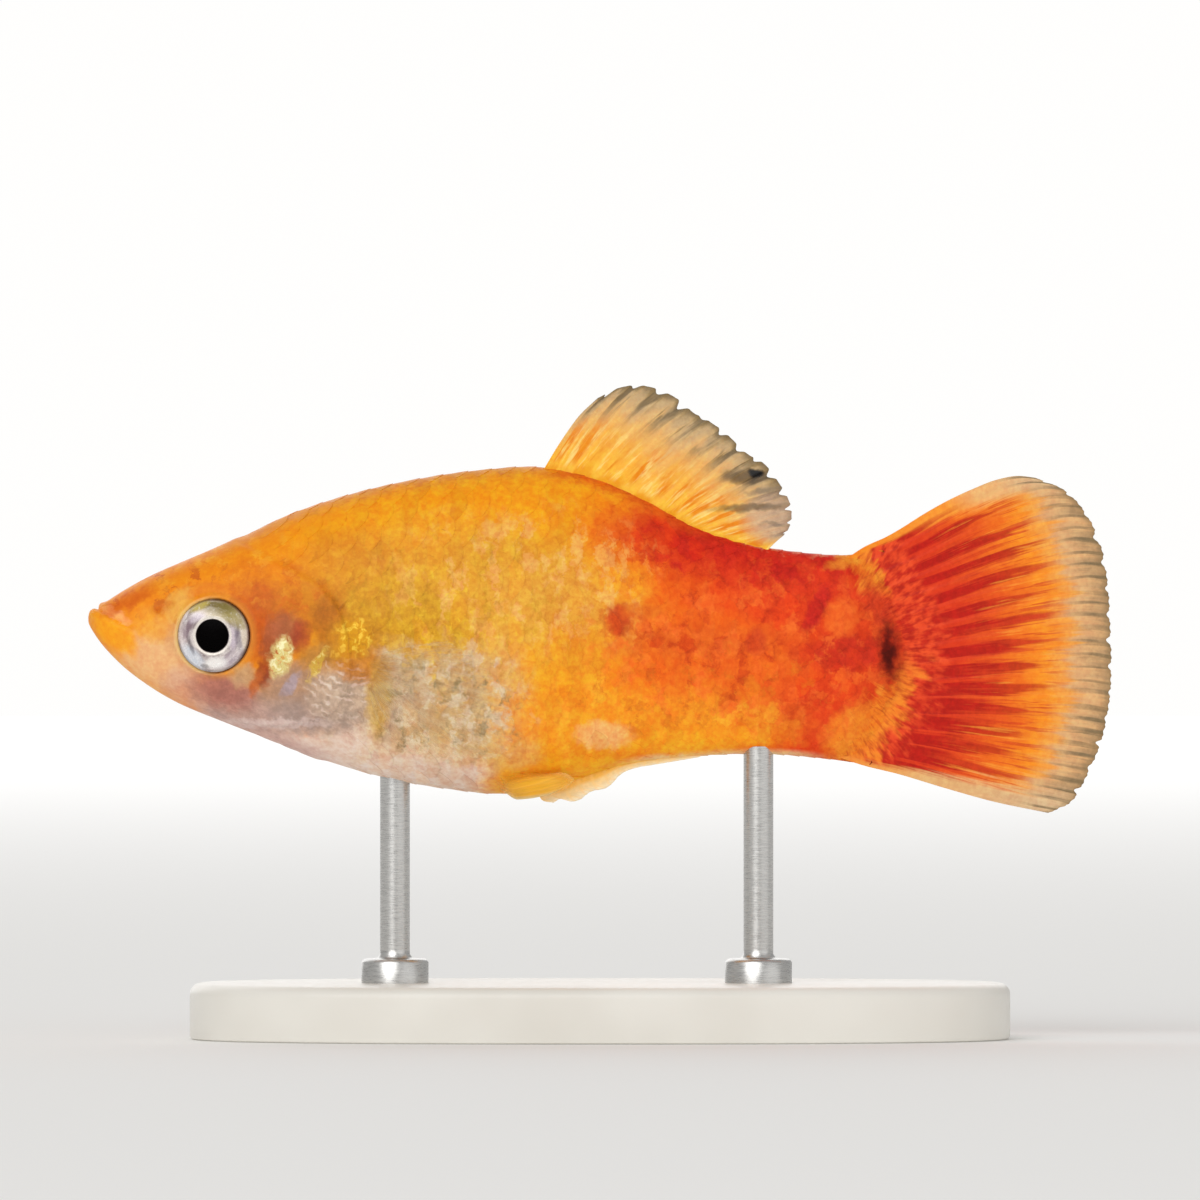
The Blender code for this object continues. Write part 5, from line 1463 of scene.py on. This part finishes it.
def caudal_material():
    made, nodes, shader = new_material("caudal_fin_finish")
    a, b, ray, place = fin_inputs(nodes)
    root = use_group(nodes, "tail_root", {"Place": place})
    rays = FIN_FORMS["caudal_fin"][0] - 1
    wide = streaks(nodes, a, b, rays * 1.0, 1.2, 3.1)
    thin = streaks(nodes, a, b, rays * 2.6, 1.3, 5.5)
    fine = streaks(nodes, a, b, rays * 5.0, 2.5, 8.4)
    reach = nodes.plus(b, nodes.spread(wide, 0.3, 0.7, -0.06, 0.06))
    reach = nodes.plus(reach, nodes.spread(fine, 0.3, 0.7, -0.03, 0.03))
    colour = nodes.ramp(reach, CAUDAL_RAMP)
    low = nodes.spread(a, 0.48, 0.7)
    off = off_film(nodes, a, rays, thin, 0.14)
    tips = nodes.plus(nodes.spread(wide, 0.3, 0.7, 0.66, 0.86), nodes.times(low, -0.06))
    left = nodes.minus(tips, b)
    width = nodes.times(nodes.spread(low, 0.0, 1.0, 0.27, 0.42), nodes.spread(left, 0.0, 0.36, 0.25, 1.0))
    bar = nodes.spread(nodes.minus(off, width), -0.08, 0.06, 1.0, 0.0)
    bar = nodes.times(bar, nodes.spread(left, -0.02, 0.12), 0.93)
    deep = nodes.mix(nodes.spread(left, 0.05, 0.35), "C84214", "B61A12")
    colour = nodes.mix(bar, colour, deep)
    lines = nodes.times(nodes.spread(fine, 0.5, 0.6), nodes.spread(b, 0.25, 0.4, 0.0, 0.72))
    lines = nodes.times(lines, nodes.spread(b, 0.7, 0.84, 1.0, 0.0))
    colour = nodes.mix(lines, colour, "CE3C1A")
    gleam = nodes.times(nodes.spread(fine, 0.3, 0.42, 1.0, 0.0), nodes.spread(b, 0.3, 0.5, 0.0, 0.5))
    colour = nodes.mix(nodes.times(gleam, nodes.spread(b, 0.72, 0.82, 1.0, 0.0)), colour, "F9A83C")
    colour = nodes.mix(nodes.spread(root["Past"], 0.3, 1.7), root["Color"], colour)
    colour = nodes.paint(colour, calmly(nodes, place), TAIL_SPOT.values())
    for edge, stops in ((a, CAUDAL_TOP_HEM), (nodes.minus(1.0, a), CAUDAL_FOOT_HEM)):
        near = nodes.math("DIVIDE", edge, nodes.spread(b, 0.1, 0.8, 0.03, 0.1))
        near = nodes.plus(near, nodes.spread(fine, 0.3, 0.7, -0.25, 0.25))
        hem = nodes.spread(near, 0.4, 1.1, 0.95, 0.0)
        colour = nodes.mix(hem, colour, nodes.ramp(b, stops))
    lie = nodes.plus(nodes.times(a, rays * 2), nodes.spread(thin, 0.3, 0.7, -0.2, 0.2))
    waves = nodes.math("SINE", nodes.times(lie, 2 * math.pi))
    strokes = nodes.times(nodes.spread(waves, 0.1, 0.95), nodes.spread(wide, 0.36, 0.56, 0.3, 1.0))
    strokes = nodes.times(strokes, nodes.spread(b, 0.78, 0.95, 0.0, 0.9))
    colour = nodes.mix(strokes, colour, "7C6A4C")
    colour = nodes.mix(nodes.times(nodes.spread(b, 0.96, 1.0), 0.45), colour, "7A6848")
    solid = nodes.spread(b, 0.4, 0.9, 1.0, 0.9)
    nodes.feed(shader.inputs, FIN_FINISH | {
        "Base Color": grain(nodes, colour, place, 0.6),
        "Alpha": nodes.plus(solid, nodes.times(ray, 0.1), clamp=True),
    })
    return made


def dorsal_material():
    made, nodes, shader = new_material("dorsal_fin_finish")
    a, b, ray, place = fin_inputs(nodes)
    rays = FIN_FORMS["dorsal_fin"][0] - 1
    wide = streaks(nodes, a, b, rays * 0.9, 1.2, 5.7)
    thin = streaks(nodes, a, b, rays * 2.4, 1.4, 4.2)
    fine = streaks(nodes, a, b, rays * 3.6, 2.5, 2.2)
    reach = nodes.plus(b, nodes.spread(wide, 0.3, 0.7, -0.1, 0.1))
    colour = nodes.ramp(reach, DORSAL_RAMP)
    film = nodes.spread(off_film(nodes, a, rays, thin, 0.2), 0.1, 0.3, 1.0, 0.0)
    flames = nodes.times(film, nodes.spread(wide, 0.4, 0.54, 0.2, 1.0), nodes.spread(b, 0.06, 0.2))
    flames = nodes.times(flames, nodes.spread(b, 0.38, 0.74, 1.0, 0.0))
    colour = nodes.mix(flames, colour, "EC8A10")
    gleam = nodes.times(nodes.spread(fine, 0.5, 0.66), nodes.spread(b, 0.05, 0.14))
    gleam = nodes.times(gleam, nodes.spread(b, 0.35, 0.7, 0.7, 0.0))
    colour = nodes.mix(gleam, colour, "FCE288")
    strokes = nodes.times(film, nodes.spread(thin, 0.36, 0.56, 0.2, 1.0))
    strokes = nodes.times(strokes, nodes.spread(b, 0.48, 0.9, 0.0, 0.92))
    colour = nodes.mix(strokes, colour, "735F3E")
    colour = nodes.mix(nodes.times(nodes.spread(b, 0.94, 1.0), 0.6), colour, "6A5A3E")
    x, _, z = nodes.split(nodes.shake(place, 1.6, 2.0, 0.5, 0.5))
    colour = nodes.paint(colour, nodes.join(x, 0.0, z), DORSAL_SPOTS)
    solid = nodes.spread(b, 0.0, 0.8, 0.98, 0.84)
    nodes.feed(shader.inputs, FIN_FINISH | {
        "Base Color": grain(nodes, colour, place, 0.5),
        "Alpha": nodes.plus(solid, nodes.times(ray, 0.12), clamp=True),
    })
    return made


def clear_fin_material(name, stops, root_alpha, rim_alpha, ray_alpha, ray_code, hem=0.0):
    """A thin pale fin whose rays show more than its film. hem pales its last edge and clears its first."""
    made, nodes, shader = new_material(name)
    a, b, ray, _ = fin_inputs(nodes)
    fine = streaks(nodes, a, b, 30.0, 4.0, 1.3)
    colour = nodes.mix(nodes.times(ray, 0.45), nodes.ramp(b, stops), ray_code)
    colour = nodes.mix(nodes.spread(a, 0.72, 1.0, 0.0, hem), colour, "EED69A")
    film = nodes.plus(nodes.spread(b, 0.0, 0.5, root_alpha, rim_alpha), nodes.times(ray, ray_alpha))
    film = nodes.plus(film, nodes.spread(fine, 0.35, 0.7, -0.05, 0.08), clamp=True)
    film = nodes.times(film, nodes.spread(a, 0.0, 0.35, 1.0 - hem, 1.0))
    film = nodes.times(film, nodes.spread(b, 0.75, 1.0, 1.0, 1.0 - 0.8 * hem))
    film = nodes.times(film, nodes.spread(b, 0.02, 0.14, 0.2, 1.0))
    nodes.feed(shader.inputs, FIN_FINISH | {"Base Color": colour, "Alpha": film})
    return made


def plate_material():
    made, nodes, shader = new_material("stand_plate_finish")
    place = body_place(nodes)
    cloud = nodes.noise(place, 0.12, 2.0)
    peel = nodes.noise(place, 2.5, 2.0)
    colour = nodes.mix(nodes.spread(cloud, 0.3, 0.7), "DAD6CD", "E3E0D8")
    nodes.feed(shader.inputs, {"Base Color": colour, "Roughness": nodes.spread(peel, 0.3, 0.7, 0.3, 0.4)})
    add_bump(nodes, shader, peel, 0.15, 0.03)
    return made


def steel_material():
    made, nodes, shader = new_material("stand_steel_finish")
    x, y, z = nodes.split(body_place(nodes))
    turned = nodes.noise(nodes.join(x, y, nodes.times(z, 14.0)), 1.6, 4.0, 0.7)
    colour = nodes.mix(nodes.spread(turned, 0.3, 0.7), "B9B8B6", "D6D5D2")
    rough = nodes.spread(turned, 0.3, 0.7, 0.24, 0.36)
    nodes.feed(shader.inputs, {"Base Color": colour, "Metallic": 1.0, "Roughness": rough})
    add_bump(nodes, shader, turned, 0.2, 0.02)
    return made


def rings_to_faces(count, rings):
    """Side quads and flat end caps of a stack of rings."""
    faces = [tuple(range(count)), tuple(range((rings - 1) * count, rings * count))]
    for k in range(rings - 1):
        for i in range(count):
            j = (i + 1) % count
            faces.append((k * count + i, k * count + j, (k + 1) * count + j, (k + 1) * count + i))
    return faces


def build_plate(stand):
    """The stand's plate, a rounded oval with softened edges."""
    low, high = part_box("stand_base")
    half_x, half_y = (high.x - low.x) / 2 / MM, (high.y - low.y) / 2 / MM
    top, round_ = high.z / MM, stand.edge / MM
    profile = [(PLATE_FOOT, 0.0), (0.06, 0.08), (0.0, PLATE_FOOT)]
    for turn in np.linspace(0.0, math.pi / 2, 9):
        profile.append((round_ * (1 - math.cos(turn)), top - round_ * (1 - math.sin(turn))))
    points = []
    for inset, z in profile:
        for cos, sin in round_steps(PLATE_STEPS):
            x = math.copysign(abs(cos) ** (2 / PLATE_POWER), cos) * (half_x - inset)
            y = math.copysign(abs(sin) ** (2 / PLATE_POWER), sin) * (half_y - inset)
            points.append((x, y, z))
    faces = rings_to_faces(PLATE_STEPS, len(profile))
    plate = mesh_object("display_plate", points, faces, plate_material())
    face_outward(plate, PLATE_SHARP)
    return finish_piece(plate, "stand_plate", "stand_base")


def build_rod(stand, node, material):
    """A round rod with a turned collar at its foot, up into the belly."""
    low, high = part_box(node)
    x = (low.x + high.x) / 2 / MM
    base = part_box("stand_base")[1].z / MM
    radius, collar = stand.rod_radius / MM, (high.x - low.x) / 2 / MM
    tall = low.z / MM + COLLAR_HEIGHT
    top = float(along_body(BELLY, x)) + ROD_IN_BELLY
    profile = [
        (collar, base - 0.05), (collar, tall - 0.2), (collar - 0.08, tall - 0.08), (collar - 0.2, tall),
        (radius + 0.3, tall), (radius + 0.12, tall + 0.06), (radius, tall + 0.25),
    ]
    profile += [(radius, z) for z in np.linspace(tall + 0.5, top, 8)]
    points = [(x + r * cos, r * sin, z) for r, z in profile for cos, sin in round_steps(ROD_STEPS)]
    faces = rings_to_faces(ROD_STEPS, len(profile))
    rod = mesh_object(node.replace("stand", "display"), points, faces, material)
    face_outward(rod, ROD_SHARP)
    return finish_piece(rod, "stand_steel", node)


def floor_material():
    made, nodes, shader = new_material("floor_finish")
    place = nodes.add("ShaderNodeTexCoord").outputs["Object"]
    far = nodes.spread(nodes.vector("LENGTH", place), 0.1, 1.6)
    nodes.feed(shader.inputs, {
        "Base Color": nodes.mix(far, "F0EFED", "000000"), "Roughness": 0.9, "Specular IOR Level": 0.1,
        "Emission Color": STUDIO_WHITE, "Emission Strength": far,
    })
    return made


def build_stage(stage):
    """A pale floor, soft studio light and the camera at the fish's left side."""
    ring = [(FLOOR_RADIUS * cos, FLOOR_RADIUS * sin, 0.0) for cos, sin in round_steps(FLOOR_STEPS)]
    floor = mesh_object("floor", ring, [tuple(range(FLOOR_STEPS))], floor_material())
    floor.visible_shadow = False  # the bounced light comes up through the floor
    scene = bpy.context.scene
    world = bpy.data.worlds.new("studio")
    world.use_nodes = True
    nodes = Nodes(world.node_tree)
    seen = nodes.add("ShaderNodeLightPath").outputs["Is Camera Ray"]
    strength = nodes.spread(seen, 0.0, 1.0, stage.ambient, 1.0)
    background = world.node_tree.nodes["Background"]
    nodes.feed(background.inputs, {"Color": STUDIO_WHITE, "Strength": strength})
    scene.world = world
    for name, way, width, setting in LIGHTS:
        lamp = bpy.data.lights.new(name, "SUN")
        lamp.energy = getattr(stage, setting)
        lamp.angle = math.radians(width)
        obj = bpy.data.objects.new(name, lamp)
        obj.rotation_mode = "QUATERNION"
        obj.rotation_quaternion = Vector(way).to_track_quat("-Z", "Y")
        scene.collection.objects.link(obj)
    view = bpy.data.cameras.new("camera")
    view.lens = stage.lens
    view.sensor_width = 36.0
    camera = bpy.data.objects.new("camera", view)
    camera.location = (0.0, -stage.distance, stage.height)
    camera.rotation_euler = (math.pi / 2, 0.0, 0.0)
    view.clip_start, view.clip_end = 0.01, 10.0
    scene.collection.objects.link(camera)
    scene.camera = camera
    scene.view_settings.view_transform = "Standard"


class CoatSettings(bpy.types.PropertyGroup):
    depth: FloatProperty(
        name="Coat Depth", description="How far the skin lies inside the body's surface under the scales",
        default=0.1 * MM, unit="LENGTH", precision=5)
    rise: FloatProperty(
        name="Scale Rise", description="Height of a scale's free edge over the skin",
        default=0.035 * MM, unit="LENGTH", precision=5)
    thickness: FloatProperty(
        name="Scale Thickness", description="Thickness of a scale",
        default=0.02 * MM, unit="LENGTH", precision=5)
    length: FloatProperty(
        name="Scale Length", description="Length of a scale from root to free edge",
        default=2.3 * MM, unit="LENGTH", precision=5)
    columns: IntProperty(
        name="Columns", description="Columns of scales over the whole body's length", default=67)
    rows: IntProperty(name="Rows", description="Scales in one column, right round the body", default=14)
    overlap: FloatProperty(
        name="Overlap", description="Width of a scale as a share of the space between two in a column",
        default=1.1, subtype="FACTOR")
    seed: IntProperty(name="Seed", description="Seed of the scales' random sizes and tones", default=4)


class EyeSettings(bpy.types.PropertyGroup):
    radius: FloatProperty(
        name="Eye Radius", description="Radius of the visible eye",
        default=1.95 * MM, unit="LENGTH", precision=5)
    pupil: FloatProperty(
        name="Pupil Radius", description="Radius of the pupil",
        default=0.91 * MM, unit="LENGTH", precision=5)
    bulge: FloatProperty(
        name="Bulge", description="How far the middle of the eye stands over its rim",
        default=0.32 * MM, unit="LENGTH", precision=5)
    sink: FloatProperty(
        name="Sink", description="How far the eye's rim lies under the skin",
        default=0.1 * MM, unit="LENGTH", precision=5)


class FinSettings(bpy.types.PropertyGroup):
    membrane: FloatProperty(
        name="Membrane", description="Half the thickness of a fin's membrane",
        default=0.07 * MM, unit="LENGTH", precision=5)
    ray_rise: FloatProperty(
        name="Ray Rise", description="Height of a ray over the membrane",
        default=0.1 * MM, unit="LENGTH", precision=5)


class StandSettings(bpy.types.PropertyGroup):
    edge: FloatProperty(
        name="Edge", description="Radius of the plate's softened edge",
        default=0.6 * MM, unit="LENGTH", precision=5)
    rod_radius: FloatProperty(
        name="Rod Radius", description="Radius of the two rods",
        default=0.8 * MM, unit="LENGTH", precision=5)


class StageSettings(bpy.types.PropertyGroup):
    lens: FloatProperty(name="Lens", description="Focal length of the camera, in millimetres", default=503.2)
    distance: FloatProperty(
        name="Distance", description="From the camera to the fish's mid plane", default=0.9, unit="LENGTH")
    height: FloatProperty(
        name="Height", description="Level of the camera over the floor",
        default=23.54 * MM, unit="LENGTH", precision=5)
    key: FloatProperty(name="Key", description="Strength of the key light", default=1.3)
    fill: FloatProperty(name="Fill", description="Strength of the fill light", default=0.4)
    bounce: FloatProperty(name="Bounce", description="Strength of the light from below", default=0.85)
    rim: FloatProperty(name="Rim", description="Strength of the light from behind", default=0.8)
    ambient: FloatProperty(name="Ambient", description="Strength of the light from all round", default=0.5)


class PlatySettings(bpy.types.PropertyGroup):
    coat: PointerProperty(type=CoatSettings)
    eye: PointerProperty(type=EyeSettings)
    fins: PointerProperty(type=FinSettings)
    stand: PointerProperty(type=StandSettings)
    stage: PointerProperty(type=StageSettings)


class PLATY_OT_skin(bpy.types.Operator):
    """Build the seamless skin with lips, nostrils, sockets and gill covers"""
    bl_idname = "platy.skin"
    bl_label = "Skin"

    def execute(self, context):
        make_tail_root_group()
        make_markings_group()
        make_wet_group()
        build_skin(context.scene.platy)
        return {"FINISHED"}


class PLATY_OT_scales(bpy.types.Operator):
    """Cover the skin with overlapping scales"""
    bl_idname = "platy.scales"
    bl_label = "Scales"

    def execute(self, context):
        build_scales(context.scene.platy)
        return {"FINISHED"}


class PLATY_OT_eyes(bpy.types.Operator):
    """Build both eyes"""
    bl_idname = "platy.eyes"
    bl_label = "Eyes"

    def execute(self, context):
        settings = context.scene.platy
        material = eye_material(settings)
        for name, side in (("eye_left", -1), ("eye_right", 1)):
            build_eye(settings, name, side, material)
        return {"FINISHED"}


class PLATY_OT_median_fins(bpy.types.Operator):
    """Build the dorsal, tail and anal fins"""
    bl_idname = "platy.median_fins"
    bl_label = "Median Fins"

    def execute(self, context):
        fins = context.scene.platy.fins
        backs = np.array(DORSAL_ROOT_X)
        dorsal_root = by_ray(np.stack([backs, along_body(BACK, backs) - FIN_SINK], -1))
        dorsal = median_place(dorsal_root, DORSAL_FRONT, by_ray(DORSAL_RIM), DORSAL_REAR)
        fin_mesh("dorsal_fin", dorsal, dorsal_material(), "dorsal_fin", fins)
        caudal = median_place(path(CAUDAL_ROOT), CAUDAL_TOP, path(CAUDAL_RIM), CAUDAL_FOOT)
        fin_mesh("caudal_fin", caudal, caudal_material(), "tail_fin", fins)
        bellies = np.linspace(*ANAL_ROOT_X, 6)
        anal_root = by_ray(np.stack([bellies, along_body(BELLY, bellies) + FIN_SINK], -1))
        anal = median_place(anal_root, ANAL_FRONT, path(ANAL_RIM), ANAL_REAR)
        gold = clear_fin_material("anal_fin_finish", ANAL_RAMP, 0.98, 0.95, 0.05, "FFD080")
        fin_mesh("anal_fin", anal, gold, "clear_fin", fins)
        return {"FINISHED"}


class PLATY_OT_paired_fins(bpy.types.Operator):
    """Build the pectoral and pelvic fins"""
    bl_idname = "platy.paired_fins"
    bl_label = "Paired Fins"

    def execute(self, context):
        fins = context.scene.platy.fins
        glass = clear_fin_material("pectoral_fin_finish", PECTORAL_RAMP, 0.17, 0.03, 0.09, "B8A482")
        cream = clear_fin_material("pelvic_fin_finish", PELVIC_RAMP, 0.15, 0.95, 0.05, "FFC050", 0.9)
        for name, side in (("left", -1), ("right", 1)):
            fin_mesh("pectoral_fin_" + name, pectoral_place(side), glass, "clear_fin", fins)
            fin_mesh("pelvic_fin_" + name, pelvic_place(side), cream, "clear_fin", fins)
        return {"FINISHED"}


class PLATY_OT_stand(bpy.types.Operator):
    """Build the display stand's plate and rods"""
    bl_idname = "platy.stand"
    bl_label = "Stand"

    def execute(self, context):
        stand = context.scene.platy.stand
        build_plate(stand)
        steel = steel_material()
        for node in ("stand_rod_front", "stand_rod_rear"):
            build_rod(stand, node, steel)
        return {"FINISHED"}


class PLATY_OT_stage(bpy.types.Operator):
    """Set up the floor, the light and the camera"""
    bl_idname = "platy.stage"
    bl_label = "Stage"

    def execute(self, context):
        build_stage(context.scene.platy.stage)
        return {"FINISHED"}


OPERATORS = (
    PLATY_OT_stage, PLATY_OT_skin, PLATY_OT_scales, PLATY_OT_eyes, PLATY_OT_median_fins,
    PLATY_OT_paired_fins, PLATY_OT_stand,
)


class PLATY_PT_panel(bpy.types.Panel):
    """Lists the steps and sizes of the model"""
    bl_idname = "PLATY_PT_panel"
    bl_label = "Sunset Platy"
    bl_space_type = "VIEW_3D"
    bl_region_type = "UI"
    bl_category = "Platy"

    def draw(self, context):
        settings = context.scene.platy
        for name in ("coat", "eye", "fins", "stand", "stage"):
            box = self.layout.box()
            group = getattr(settings, name)
            for key in group.bl_rna.properties.keys():
                if key not in ("rna_type", "name"):
                    box.prop(group, key)
        for operator in OPERATORS:
            self.layout.operator(operator.bl_idname)


CLASSES = (
    CoatSettings, EyeSettings, FinSettings, StandSettings, StageSettings, PlatySettings, *OPERATORS,
    PLATY_PT_panel,
)


def register():
    for each in CLASSES:
        bpy.utils.register_class(each)
    bpy.types.Scene.platy = PointerProperty(type=PlatySettings)


def unregister():
    del bpy.types.Scene.platy
    for each in reversed(CLASSES):
        bpy.utils.unregister_class(each)


def main():
    register()
    for operator in OPERATORS:
        group, name = operator.bl_idname.split(".")
        getattr(getattr(bpy.ops, group), name)()


if __name__ == "__main__":
    main()
